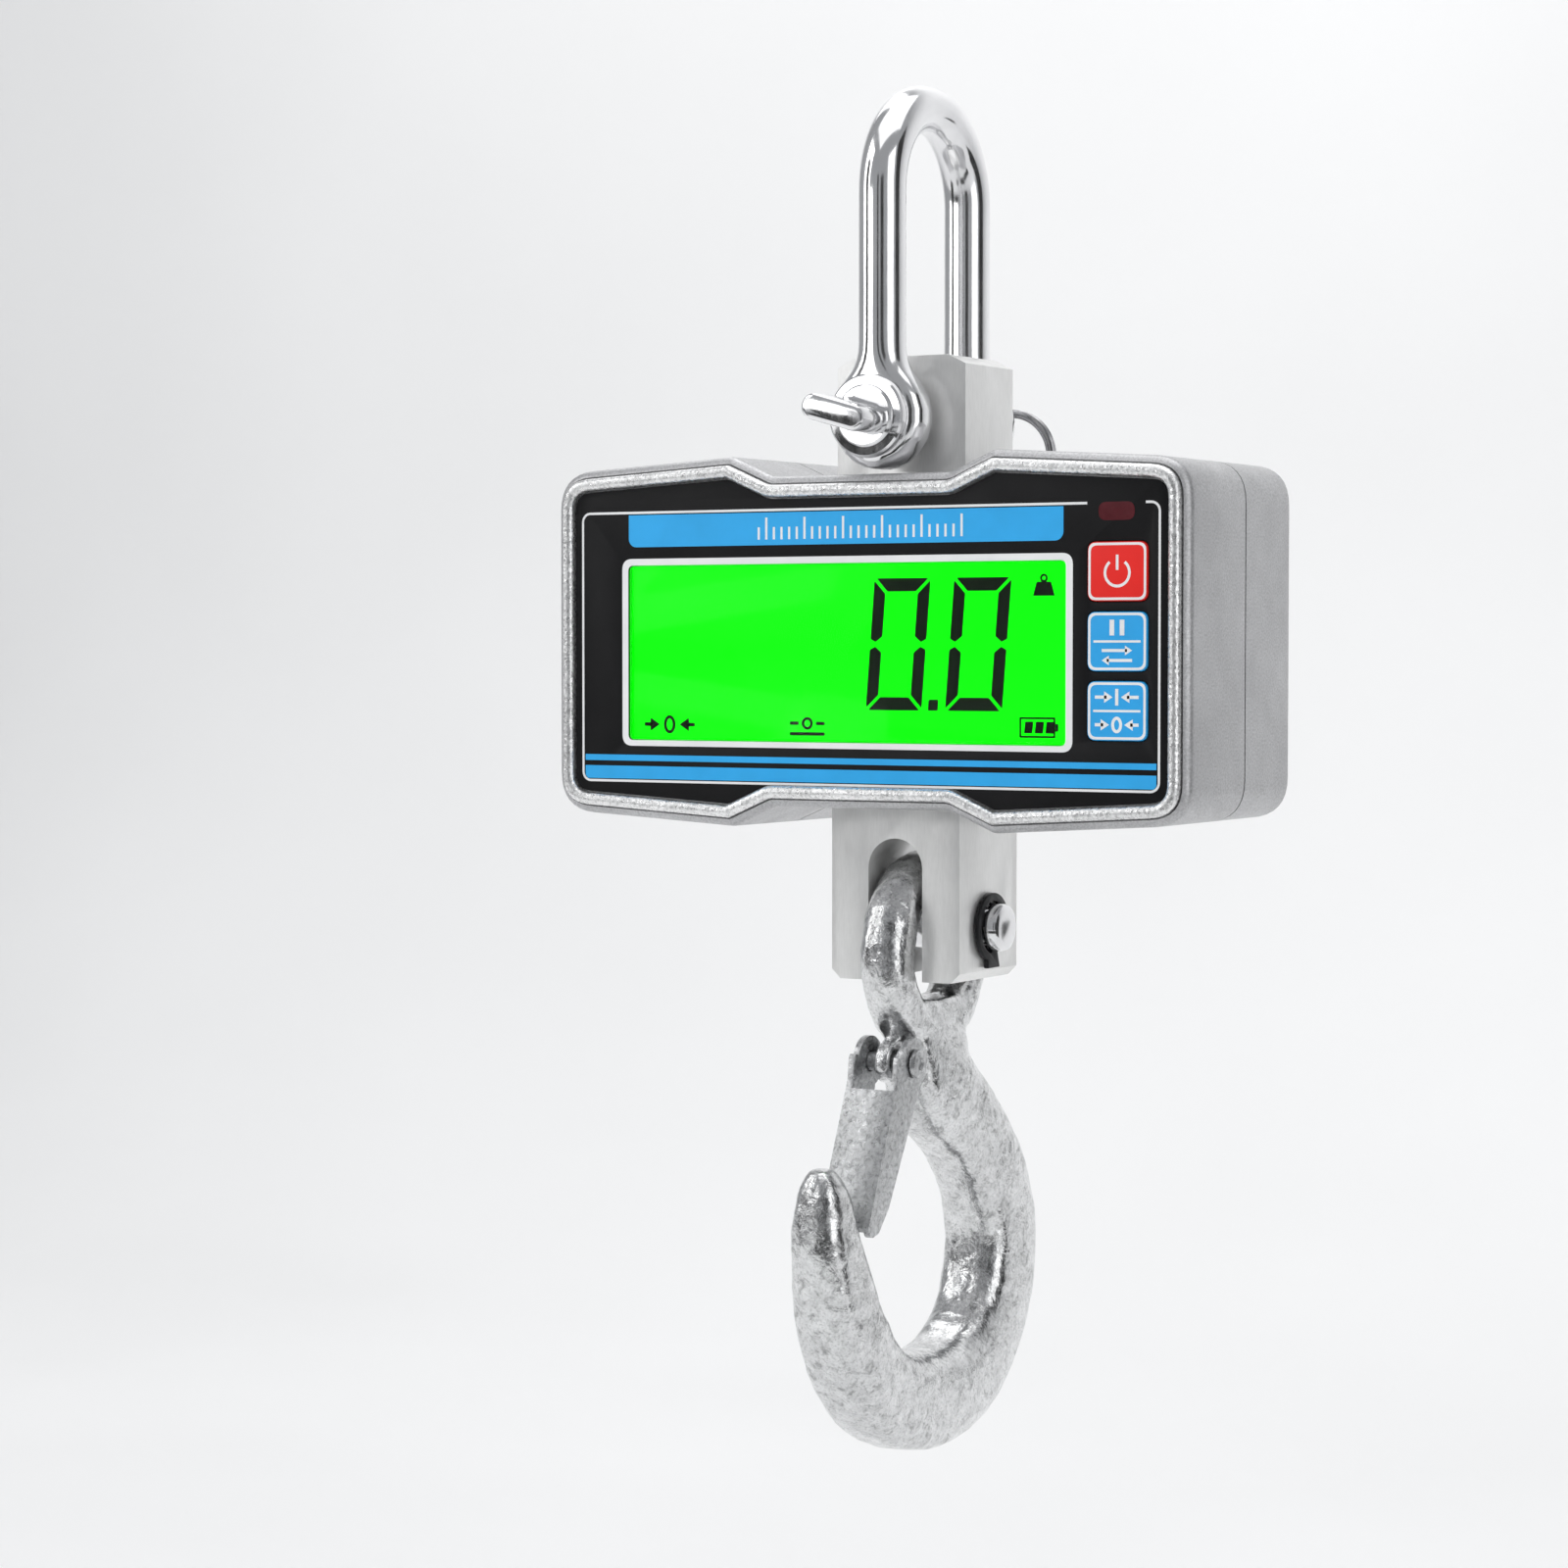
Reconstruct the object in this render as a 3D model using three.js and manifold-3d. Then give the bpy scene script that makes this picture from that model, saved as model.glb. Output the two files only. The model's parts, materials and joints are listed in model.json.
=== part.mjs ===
// Digital crane scale, hung from a D shackle and ending in a latched eye hook.
//
// Units are millimetres and +Z is up. The origin is the bearing point inside the crown of the shackle,
// where a crane's hook carries the scale. +X is to the right of somebody reading the display, and the
// display faces -Y. Each assembly is a group placed at the axis that it turns or slides on, and each
// piece of an assembly is one named mesh with its own material.

import * as THREE from "three";
import { mergeVertices } from "three/addons/utils/BufferGeometryUtils.js";
import Module from "manifold-3d";

const wasm = await Module();
wasm.setup();

// ---- Driving dimensions -------------------------------------------------------------------------

const GAP = 0.3; // air between two pieces that touch on the real object
const RUNNING_GAP = 0.3; // radial air around a pin that turns

const SHACKLE = {
  barRadius: 5.4,
  legSpacing: 42, // between the centre lines of the two legs
  bossRadius: 11.8,
  bossThickness: 10.8,
  pinDrop: 66.7, // from the crown's bearing point down to the pin's axis
};
const SHACKLE_PIN = {
  radius: 5.5,
  collarRadius: 9.5,
  collarThickness: 2.6,
  paddleWidth: 16.5,
  paddleThickness: 6,
  paddleLength: 15.4,
  paddleTilt: THREE.MathUtils.degToRad(15.5),
  tailRadius: 4.6,
  tailEnd: 35,
  ringHoleY: 31,
  ringHoleRadius: 2,
};
const SPLIT_RING = { radius: 10.4, wireRadius: 1.1, drop: 9.9, lean: Math.PI / 4 };

const COLUMN_HALF_WIDTH = 16.6; // of the lug, the load cell and the clevis, along X
const LUG = { halfDepth: 12, top: 14.5, bottom: -25.5, chamferWidth: 4.5, chamferHeight: 2.2 };
const CELL = { halfDepth: 9.5, height: 50.1, studRadius: 4.8, studHoleRadius: 5.1, studReach: 9 };
const CLEVIS = {
  halfDepth: 14.6,
  top: 40.5, // above the clevis pin's axis
  bottom: -12.1,
  slotHalfWidth: 7,
  slotTop: 20.7,
};
const CLEVIS_PIN = {
  radius: 5.5,
  halfLength: 21.6,
  grooveRadius: 4.3,
  clipFace: 16.9,
  clipThickness: 1.2,
  clipOuterRadius: 8,
  clipInnerRadius: 6.1,
  clipMouth: -0.35, // direction of the opening, from the rear towards the top
  clipOpening: 0.9, // half of the opening
  clipFootStart: 4.4, // from this direction on the clip's outline steps out into a foot
  clipFootRadius: 9.4,
};
const CLEVIS_PIN_DROP = 116.7; // from the shackle pin's axis down to the clevis pin's axis

const HOUSING = {
  drop: 50.9, // from the shackle pin's axis down to the middle of the housing
  halfWidth: 81,
  cornerHalfHeight: 39.6,
  peakHalfHeight: 42.5,
  notchHalfHeight: 37.7,
  peakX: 33.4,
  notchX: 22.5,
  cornerRadius: 9.5,
  bendRadius: 4,
  wall: 3.2,
  edgeRound: 2.4, // of the outer edge at the front and at the rear
  front: -32.5,
  frontWallFront: -31.2,
  frontWallRear: -28.6,
  seam: -2, // where the front shell meets the rear shell
  rear: 25,
};
const COLUMN_CLEARANCE = 1.7; // between the column and its opening in the housing, filled by a seal
const BEZEL = { outerInset: 2, innerInset: 4.9, front: -34, rear: -31.5, round: 1 };
const OVERLAY = { inset: 5.2, front: -32.1, rear: -31.5 };

const LCD = { x: -4.85, z: -2.55, width: 112.3, height: 40.1 }; // the clear window
const KEY = { x: 64, width: 14.2, height: 12.9, radius: 2, travel: 0.8, front: -32.6 };
const KEY_ROWS = { power_key: 15.15, hold_key: 0, tare_key: -15.05 };
const CASE_SCREW = { x: 72.4, z: 31.2, headRadius: 3, shankRadius: 1.4, postRadius: 3.6 };
const BOARD = { halfWidth: 68, halfHeight: 31.5, front: -22.3, rear: -20.7, screwZ: 28.6 };
const BOARD_SCREW_X = [-58, 47];
const BATTERY = { x: 44.5, y: 12.8, cellRadius: 7.1, cellLength: 50.5, pitch: 15 };
const DOOR = { halfWidth: 24.2, halfHeight: 31, front: 22.8, rear: 24.7, screwZ: 28.7 };

const HOOK = {
  eyeInnerRadius: 12.2,
  eyeRadialThickness: 12,
  eyeHalfThickness: 6.25,
  lugHalfThickness: 2.2,
  rivet: [-17, -30.6], // y and z from the clevis pin's axis
};
// Centre line of the hook's body from the eye round to the tip, from the clevis pin's axis: y, z, then
// the half depth in the plane of the hook and the half thickness across it.
const HOOK_SECTIONS = [
  [0, -17, 15, 5.6],
  [0, -22.5, 13.6, 6.2],
  [0.5, -29, 12.4, 7.6],
  [3, -37, 12, 8.2],
  [10, -43, 11.6, 8.4],
  [18, -49, 11.2, 8.6],
  [30, -62.6, 11.5, 9],
  [34.4, -78.6, 12, 9.5],
  [29, -96.6, 12, 9.5],
  [13, -108.6, 11.6, 10],
  [-8, -110.6, 11.5, 10],
  [-27, -104.2, 10.5, 9.5],
  [-40, -88.6, 9.5, 9],
  [-46, -72.6, 8, 7.6],
  [-48.3, -60, 6.2, 6.2],
  [-48.9, -54.5, 4.6, 4.6],
  [-49.1, -51.5, 2.4, 2.4],
];
const LATCH = {
  halfWidth: 6.5,
  sheet: 1.5,
  earRadius: 6,
  rivetRadius: 2.2,
  // Side view of a cheek from the rivet's axis, y and z: down the front, then back up the rear.
  cheek: [
    [-7.6, 3.4],
    [-8.4, -3.6],
    [-22.2, -35],
    [-20.8, -37.4],
    [-17.2, -36.6],
    [-12.4, -31.4],
    [2.6, -5.4],
  ],
  webTop: -5.3,
};

// ---- Materials ----------------------------------------------------------------------------------

function material(color, roughness, metalness) {
  return new THREE.MeshStandardMaterial({ color, roughness, metalness });
}
const POLISHED_STEEL = material(0xdedede, 0.14, 1);
const MACHINED_ALUMINIUM = material(0xdcdcda, 0.38, 0.9);
const CAST_ALUMINIUM = material(0xbfc1c3, 0.42, 0.85);
const BRIGHT_ALUMINIUM = material(0xe4e5e6, 0.3, 0.9);
const GALVANISED_STEEL = material(0xc9cbcc, 0.4, 0.9);
const ZINC_SHEET = material(0xc4c6c8, 0.35, 0.9);
const BLACK_STEEL = material(0x141414, 0.5, 0.6);
const SCREW_STEEL = material(0xa6a8aa, 0.35, 1);
const RUBBER = material(0x1b1b1b, 0.85, 0);
const PANEL_BLACK = material(0x161616, 0.35, 0);
const KEY_RED = material(0xee3a36, 0.4, 0);
const KEY_BLUE = material(0x3aa7e8, 0.4, 0);
const WINDOW_CLEAR = material(0xdff5df, 0.08, 0);
const DISPLAY_GREEN = material(0x05fa05, 0.3, 0);
const DIFFUSER_WHITE = material(0xf1f4ee, 0.5, 0);
const BOARD_GREEN = material(0x1d5c35, 0.5, 0);
const PART_BLACK = material(0x202022, 0.5, 0);
const CELL_SLEEVE = material(0x2f3a4a, 0.35, 0.2);
const CABLE_GREY = material(0x55585c, 0.7, 0);

// ---- Solids -------------------------------------------------------------------------------------

// A closed geometry as a solid that can be joined and cut.
function toSolid(geometry) {
  const bare = geometry.index ? geometry.toNonIndexed() : geometry.clone();
  bare.deleteAttribute("normal");
  bare.deleteAttribute("uv");
  const merged = mergeVertices(bare, 1e-4);
  const vertProperties = new Float32Array(merged.attributes.position.array);
  const triVerts = new Uint32Array(merged.index.array);
  return new wasm.Manifold(new wasm.Mesh({ numProp: 3, vertProperties, triVerts }));
}

function toGeometry(solid) {
  const { vertProperties, triVerts, numProp } = solid.getMesh();
  const positions = new Float32Array((vertProperties.length / numProp) * 3);
  for (let i = 0; i * numProp < vertProperties.length; i += 1) {
    positions.set(vertProperties.subarray(i * numProp, i * numProp + 3), i * 3);
  }
  const geometry = new THREE.BufferGeometry();
  geometry.setAttribute("position", new THREE.BufferAttribute(positions, 3));
  geometry.setIndex(new THREE.BufferAttribute(new Uint32Array(triVerts), 1));
  geometry.computeVertexNormals();
  return geometry;
}

// Joins the first list of geometries, then cuts every geometry of the second list out of the result.
function shape3d(joined, cuts = []) {
  const whole = joined.map(toSolid).reduce((sum, solid) => sum.add(solid));
  return toGeometry(cuts.map(toSolid).reduce((rest, solid) => rest.subtract(solid), whole));
}

function addPiece(group, name, geometry, finish, [x, y, z] = [0, 0, 0]) {
  const mesh = new THREE.Mesh(geometry, finish);
  mesh.name = name;
  mesh.position.set(x, y, z);
  group.add(mesh);
  return mesh;
}

function addGroup(parent, [x, y, z]) {
  const group = new THREE.Group();
  group.position.set(x, y, z);
  parent.add(group);
  return group;
}

function box([x0, x1], [y0, y1], [z0, z1]) {
  const geometry = new THREE.BoxGeometry(x1 - x0, y1 - y0, z1 - z0);
  return geometry.translate((x0 + x1) / 2, (y0 + y1) / 2, (z0 + z1) / 2);
}

// A cylinder along X, Y or Z from one coordinate on that axis to another, through the point (u, v) of
// the plane across it: (y, z), (x, z) or (x, y).
function cylinder(axis, radius, from, to, [u, v] = [0, 0], sides = 24) {
  const geometry = new THREE.CylinderGeometry(radius, radius, to - from, sides);
  const middle = (from + to) / 2;
  if (axis === "x") return geometry.rotateZ(Math.PI / 2).translate(middle, u, v);
  if (axis === "z") return geometry.rotateX(Math.PI / 2).translate(u, v, middle);
  return geometry.translate(u, middle, v);
}

// An outline drawn in x and z, as a plate between two values of y.
function plateAcrossY(outline, y0, y1, curveSegments = 3) {
  const geometry = new THREE.ExtrudeGeometry(outline, { depth: y1 - y0, bevelEnabled: false, curveSegments });
  return geometry.rotateX(Math.PI / 2).translate(0, y1, 0);
}

// An outline drawn in y and z, as a plate between two values of x.
function plateAcrossX(outline, x0, x1, curveSegments = 6) {
  const geometry = new THREE.ExtrudeGeometry(outline, { depth: x1 - x0, bevelEnabled: false, curveSegments });
  const turn = new THREE.Matrix4().makeBasis(
    new THREE.Vector3(0, 1, 0),
    new THREE.Vector3(0, 0, 1),
    new THREE.Vector3(1, 0, 0),
  );
  return geometry.applyMatrix4(turn).translate(x0, 0, 0);
}

// A closed polygon with a round at each corner. Each point is [u, v, radius].
function roundedPolygon(points) {
  const outline = new THREE.Shape();
  const count = points.length;
  points.forEach(([u, v, radius], i) => {
    const corner = new THREE.Vector2(u, v);
    const before = new THREE.Vector2(...points[(i + count - 1) % count].slice(0, 2)).sub(corner);
    const after = new THREE.Vector2(...points[(i + 1) % count].slice(0, 2)).sub(corner);
    const halfAngle = Math.abs(before.angleTo(after)) / 2;
    const reach = Math.min(radius / Math.tan(halfAngle), before.length() / 2.01, after.length() / 2.01);
    const start = before.setLength(reach).add(corner);
    const end = after.setLength(reach).add(corner);
    if (i === 0) outline.moveTo(start.x, start.y);
    else outline.lineTo(start.x, start.y);
    if (reach > 0.01) outline.quadraticCurveTo(corner.x, corner.y, end.x, end.y);
  });
  outline.closePath();
  return outline;
}

function roundedRectangle(x, z, width, height, radius) {
  const [w, h] = [width / 2, height / 2];
  return roundedPolygon([
    [x - w, z - h, radius],
    [x + w, z - h, radius],
    [x + w, z + h, radius],
    [x - w, z + h, radius],
  ]);
}

// A solid skinned over a list of rings, which all have the same number of points, with flat ends.
function loft(rings) {
  const sides = rings[0].length;
  const positions = [];
  const triangle = (...corners) => corners.forEach((p) => positions.push(p.x, p.y, p.z));
  for (let r = 0; r + 1 < rings.length; r += 1) {
    for (let s = 0; s < sides; s += 1) {
      const t = (s + 1) % sides;
      triangle(rings[r][s], rings[r][t], rings[r + 1][t]);
      triangle(rings[r][s], rings[r + 1][t], rings[r + 1][s]);
    }
  }
  const last = rings[rings.length - 1];
  for (let s = 1; s + 1 < sides; s += 1) {
    triangle(rings[0][0], rings[0][s + 1], rings[0][s]);
    triangle(last[0], last[s], last[s + 1]);
  }
  return new THREE.BufferGeometry().setAttribute("position", new THREE.Float32BufferAttribute(positions, 3));
}

// A round bar that follows points in a plane, with a ring at each point across the bar's direction.
function barAlong(points, radius, sides) {
  const rings = points.map((point, i) => {
    const next = points[Math.min(i + 1, points.length - 1)];
    const last = points[Math.max(i - 1, 0)];
    return ringAt(point, next.clone().sub(last), radius, radius, sides, 2);
  });
  return loft(rings);
}

// A ring round a point of a curve in the plane x = 0: depth is the half width in that plane, thickness
// the half width along X, and power 2 gives an ellipse and more a squarer section.
function ringAt(centre, direction, depth, thickness, sides, power) {
  const along = direction.clone().normalize();
  const inPlane = new THREE.Vector3(0, along.z, -along.y);
  const across = new THREE.Vector3(1, 0, 0);
  const squeeze = (value) => Math.sign(value) * Math.abs(value) ** (2 / power);
  return Array.from({ length: sides }, (_, s) => {
    const angle = (2 * Math.PI * (s + 0.5)) / sides;
    return centre
      .clone()
      .addScaledVector(inPlane, depth * squeeze(Math.cos(angle)))
      .addScaledVector(across, -thickness * squeeze(Math.sin(angle)));
  });
}

// ---- Shackle ------------------------------------------------------------------------------------

function shackleBow() {
  const { barRadius, legSpacing, bossRadius, bossThickness, pinDrop } = SHACKLE;
  const legY = legSpacing / 2;
  const crownZ = barRadius - legY;
  const bendSteps = 16;
  const centreLine = [new THREE.Vector3(0, -legY, -pinDrop + 5)];
  for (let i = 0; i <= bendSteps; i += 1) {
    const angle = Math.PI - (Math.PI * i) / bendSteps;
    centreLine.push(new THREE.Vector3(0, legY * Math.cos(angle), crownZ + legY * Math.sin(angle)));
  }
  centreLine.push(new THREE.Vector3(0, legY, -pinDrop + 5));
  const flareTop = bossRadius + 6;
  const flare = new THREE.Shape([
    new THREE.Vector2(-barRadius * 0.8, flareTop),
    new THREE.Vector2(-bossRadius * 0.93, bossRadius * 0.36),
    new THREE.Vector2(bossRadius * 0.93, bossRadius * 0.36),
    new THREE.Vector2(barRadius * 0.8, flareTop),
  ]);
  const joined = [barAlong(centreLine, barRadius, 16)];
  for (const side of [-1, 1]) {
    const [near, far] = [side * legY - bossThickness / 2, side * legY + bossThickness / 2];
    joined.push(cylinder("y", bossRadius, near, far, [0, -pinDrop], 32));
    joined.push(plateAcrossY(flare, side * legY - barRadius + 0.6, side * legY + barRadius - 0.6)
      .translate(0, 0, -pinDrop));
  }
  const bore = cylinder("y", SHACKLE_PIN.radius + RUNNING_GAP, -40, 40, [0, -pinDrop], 32);
  return shape3d(joined, [bore]);
}

function shacklePin() {
  const pin = SHACKLE_PIN;
  const bossFace = -(SHACKLE.legSpacing + SHACKLE.bossThickness) / 2;
  const rearFace = -bossFace + 0.8;
  const collarRear = bossFace - GAP;
  const collarFront = collarRear - pin.collarThickness;
  const paddleOutline = roundedRectangle(0, 0, pin.paddleWidth, pin.paddleThickness, pin.paddleThickness / 2);
  const paddle = plateAcrossY(paddleOutline, collarFront - pin.paddleLength, collarFront + 1)
    .rotateY(pin.paddleTilt);
  const profile = [
    [0, collarFront],
    [pin.collarRadius - 1, collarFront],
    [pin.collarRadius, collarFront + 1],
    [pin.collarRadius, collarRear],
    [pin.radius, collarRear],
    [pin.radius, rearFace],
    [pin.tailRadius, rearFace + 1],
    [pin.tailRadius, pin.tailEnd - 0.8],
    [pin.tailRadius - 0.8, pin.tailEnd],
    [0, pin.tailEnd],
  ];
  const shank = new THREE.LatheGeometry(profile.map(([r, y]) => new THREE.Vector2(r, y)), 32);
  const ringHole = cylinder("x", pin.ringHoleRadius, -10, 10, [pin.ringHoleY, 0], 16);
  ringHole.rotateY(-SPLIT_RING.lean);
  return shape3d([shank, paddle], [ringHole]);
}

// The ring hangs from a hole that is drilled across the pin at a slant.
function splitRing() {
  const ring = new THREE.TorusGeometry(SPLIT_RING.radius, SPLIT_RING.wireRadius, 8, 28);
  return ring.rotateX(Math.PI / 2).translate(0, 0, -SPLIT_RING.drop).rotateY(-SPLIT_RING.lean);
}

// ---- Load column: lug, load cell, clevis --------------------------------------------------------

function upperLug() {
  const { halfDepth, top, bottom, chamferWidth, chamferHeight } = LUG;
  const w = COLUMN_HALF_WIDTH;
  const outline = roundedPolygon([
    [-w, bottom, 0],
    [w, bottom, 0],
    [w, top - chamferHeight, 0.6],
    [w - chamferWidth, top, 0.6],
    [chamferWidth - w, top, 0.6],
    [-w, top - chamferHeight, 0.6],
  ]);
  const pinBore = cylinder("y", SHACKLE_PIN.radius + RUNNING_GAP, -20, 20, [0, 0], 32);
  const studHole = cylinder("z", CELL.studHoleRadius, bottom - 1, bottom + CELL.studReach + GAP);
  return shape3d([plateAcrossY(outline, -halfDepth, halfDepth, 2)], [pinBore, studHole]);
}

// An S-shaped beam: two opposed slots leave the sensing web between two round holes in the middle.
function loadCell() {
  const { halfDepth, height, studHoleRadius, studReach } = CELL;
  const w = COLUMN_HALF_WIDTH - 0.4;
  const [half, slotZ, slotHalf, web] = [height / 2, 14, 1.2, 8];
  const cuts = [
    box([-w - 1, w - 6], [-20, 20], [slotZ - slotHalf, slotZ + slotHalf]),
    box([6 - w, w + 1], [-20, 20], [-slotZ - slotHalf, slotHalf - slotZ]),
    cylinder("y", 4.6, -20, 20, [-web / 2 - 1, 0]),
    cylinder("y", 4.6, -20, 20, [web / 2 + 1, 0]),
    cylinder("z", studHoleRadius, half - studReach - GAP, half + 1),
    cylinder("z", studHoleRadius, -half - 1, studReach + GAP - half),
  ];
  return shape3d([box([-w, w], [-halfDepth, halfDepth], [-half, half])], cuts);
}

function lowerClevis() {
  const { halfDepth, top, bottom, slotHalfWidth, slotTop } = CLEVIS;
  const w = COLUMN_HALF_WIDTH;
  const outline = roundedPolygon([
    [-w, bottom, 1.6],
    [w, bottom, 1.6],
    [w, top, 0],
    [-w, top, 0],
  ]);
  const slot = new THREE.Shape();
  slot.moveTo(-slotHalfWidth, bottom - 1);
  slot.lineTo(slotHalfWidth, bottom - 1);
  slot.lineTo(slotHalfWidth, slotTop - slotHalfWidth);
  slot.absarc(0, slotTop - slotHalfWidth, slotHalfWidth, 0, Math.PI, false);
  slot.closePath();
  const cuts = [
    plateAcrossY(slot, -20, 20, 12),
    cylinder("x", CLEVIS_PIN.radius + RUNNING_GAP, -30, 30, [0, 0], 32),
    cylinder("z", CELL.studHoleRadius, top - CELL.studReach - GAP, top + 1),
  ];
  return shape3d([plateAcrossY(outline, -halfDepth, halfDepth, 3)], cuts);
}

function clevisPin() {
  const { radius, halfLength, grooveRadius, clipFace, clipThickness } = CLEVIS_PIN;
  const grooveEnd = clipFace + clipThickness + GAP;
  const half = [
    [radius, clipFace - GAP],
    [grooveRadius - GAP, clipFace - GAP],
    [grooveRadius - GAP, grooveEnd],
    [radius, grooveEnd],
    [radius, halfLength - 0.8],
    [radius - 0.8, halfLength],
    [0, halfLength],
  ];
  const mirrored = half.map(([r, x]) => [r, -x]).reverse();
  const profile = [...mirrored, ...half].map(([r, x]) => new THREE.Vector2(r, x));
  return new THREE.LatheGeometry(profile, 24).rotateZ(-Math.PI / 2);
}

// A flat E clip: a bow with three lugs that reach into the pin's groove, open towards the rear,
// with a square foot at its lower end.
function retainingClip() {
  const { grooveRadius, clipOuterRadius, clipInnerRadius, clipMouth, clipOpening } = CLEVIS_PIN;
  const { clipFootStart, clipFootRadius, clipThickness } = CLEVIS_PIN;
  const lugHalfAngle = 0.24;
  const steps = 30;
  const first = clipMouth + clipOpening;
  const last = clipMouth + 2 * Math.PI - clipOpening;
  const lugs = [first + lugHalfAngle, (first + last) / 2, last - lugHalfAngle];
  const angles = Array.from({ length: steps + 1 }, (_, i) => first + ((last - first) * i) / steps);
  const innerRadius = (angle) => {
    const offLug = Math.min(...lugs.map((lug) => Math.abs(angle - lug))) - lugHalfAngle;
    return offLug > 0.01 ? clipInnerRadius : grooveRadius;
  };
  const polar = (radius, angle) => new THREE.Vector2(radius * Math.cos(angle), radius * Math.sin(angle));
  const outerRadius = (angle) => (angle > clipFootStart ? clipFootRadius : clipOuterRadius);
  const outer = angles.map((angle) => polar(outerRadius(angle), angle));
  const inner = angles.map((angle) => polar(innerRadius(angle), angle)).reverse();
  return plateAcrossX(new THREE.Shape([...outer, ...inner]), 0, clipThickness, 12);
}

// ---- Housing ------------------------------------------------------------------------------------

// Moves each edge of a polygon inwards by the same distance. The points run anticlockwise.
function insetPolygon(points, distance) {
  const count = points.length;
  return points.map(([u, v, radius], i) => {
    const [pu, pv] = points[(i + count - 1) % count];
    const [nu, nv] = points[(i + 1) % count];
    const into = new THREE.Vector2(u - pu, v - pv).normalize();
    const out = new THREE.Vector2(nu - u, nv - v).normalize();
    const convex = into.cross(out) > 0;
    const middle = new THREE.Vector2(-into.y - out.y, into.x + out.x).normalize();
    const reach = distance / middle.dot(new THREE.Vector2(-into.y, into.x));
    const newRadius = Math.max(radius + (convex ? -distance : distance), 0.5);
    return [u + middle.x * reach, v + middle.y * reach, newRadius];
  });
}

// The outline of the housing seen from the front: high shoulders, and a step down over the column.
function housingOutline(inset = 0) {
  const h = HOUSING;
  const lowerHalf = [
    [-h.halfWidth, -h.cornerHalfHeight, h.cornerRadius],
    [-h.peakX, -h.peakHalfHeight, h.bendRadius],
    [-h.notchX, -h.notchHalfHeight, h.bendRadius],
    [h.notchX, -h.notchHalfHeight, h.bendRadius],
    [h.peakX, -h.peakHalfHeight, h.bendRadius],
    [h.halfWidth, -h.cornerHalfHeight, h.cornerRadius],
  ];
  const upperHalf = lowerHalf.map(([x, z, radius]) => [-x, -z, radius]);
  return roundedPolygon(insetPolygon([...lowerHalf, ...upperHalf], inset));
}

function housingRing(outerInset, innerInset, y0, y1) {
  const outline = housingOutline(outerInset);
  outline.holes.push(new THREE.Path(housingOutline(innerInset).getPoints(3)));
  return plateAcrossY(outline, y0, y1);
}

// Openings in the top and bottom walls for the lug and the clevis.
function columnOpenings() {
  const x = [-COLUMN_HALF_WIDTH - COLUMN_CLEARANCE, COLUMN_HALF_WIDTH + COLUMN_CLEARANCE];
  const lugY = [-LUG.halfDepth - COLUMN_CLEARANCE, LUG.halfDepth + COLUMN_CLEARANCE];
  const clevisY = [-CLEVIS.halfDepth - COLUMN_CLEARANCE, CLEVIS.halfDepth + COLUMN_CLEARANCE];
  return [box(x, lugY, [20, 60]), box(x, clevisY, [-60, -20])];
}

const CORNERS = [[-1, -1], [1, -1], [1, 1], [-1, 1]];
const CASE_SCREW_SPOTS = CORNERS.map(([i, j]) => [i * CASE_SCREW.x, j * CASE_SCREW.z]);
const BOARD_SCREW_SPOTS = BOARD_SCREW_X.flatMap((x) => [[x, -BOARD.screwZ], [x, BOARD.screwZ]]);
const DOOR_SCREW_SPOTS = [[BATTERY.x, DOOR.screwZ], [BATTERY.x, -DOOR.screwZ]];

// The housing's outer form with both of its edges rounded. The two shells are halves of it.
function housingBlock() {
  const { front, rear, edgeRound } = HOUSING;
  const geometry = new THREE.ExtrudeGeometry(housingOutline(edgeRound), {
    depth: rear - front - 2 * edgeRound,
    bevelThickness: edgeRound,
    bevelSize: edgeRound,
    bevelSegments: 2,
    curveSegments: 3,
  });
  return geometry.rotateX(Math.PI / 2).translate(0, rear - edgeRound, 0);
}

function screwPosts(spots, radius, from, to, sides) {
  return spots.map((spot) => cylinder("y", radius, from, to, spot, sides));
}

function frontShell() {
  const { frontWallFront, frontWallRear, wall, seam } = HOUSING;
  const end = seam - GAP / 2;
  const hollow = shape3d([housingBlock()], [
    box([-90, 90], [end, 60], [-60, 60]),
    plateAcrossY(housingOutline(wall), frontWallRear, 60),
    plateAcrossY(housingOutline(BEZEL.outerInset - GAP), -60, frontWallFront),
  ]);
  const posts = [
    ...screwPosts(CASE_SCREW_SPOTS, CASE_SCREW.postRadius, frontWallRear - 0.5, end, 16),
    ...screwPosts(BOARD_SCREW_SPOTS, 2.4, frontWallRear - 0.5, BOARD.front - GAP, 12),
  ];
  const cuts = [
    windowHole(0.8),
    ...keyHoles(0.8),
    ...screwPosts(CASE_SCREW_SPOTS, CASE_SCREW.shankRadius + GAP, -15, 0, 12),
    ...screwPosts(BOARD_SCREW_SPOTS, 1.3, -27.5, -10, 12),
    ...columnOpenings(),
  ];
  return shape3d([hollow, ...posts], cuts);
}

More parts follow.
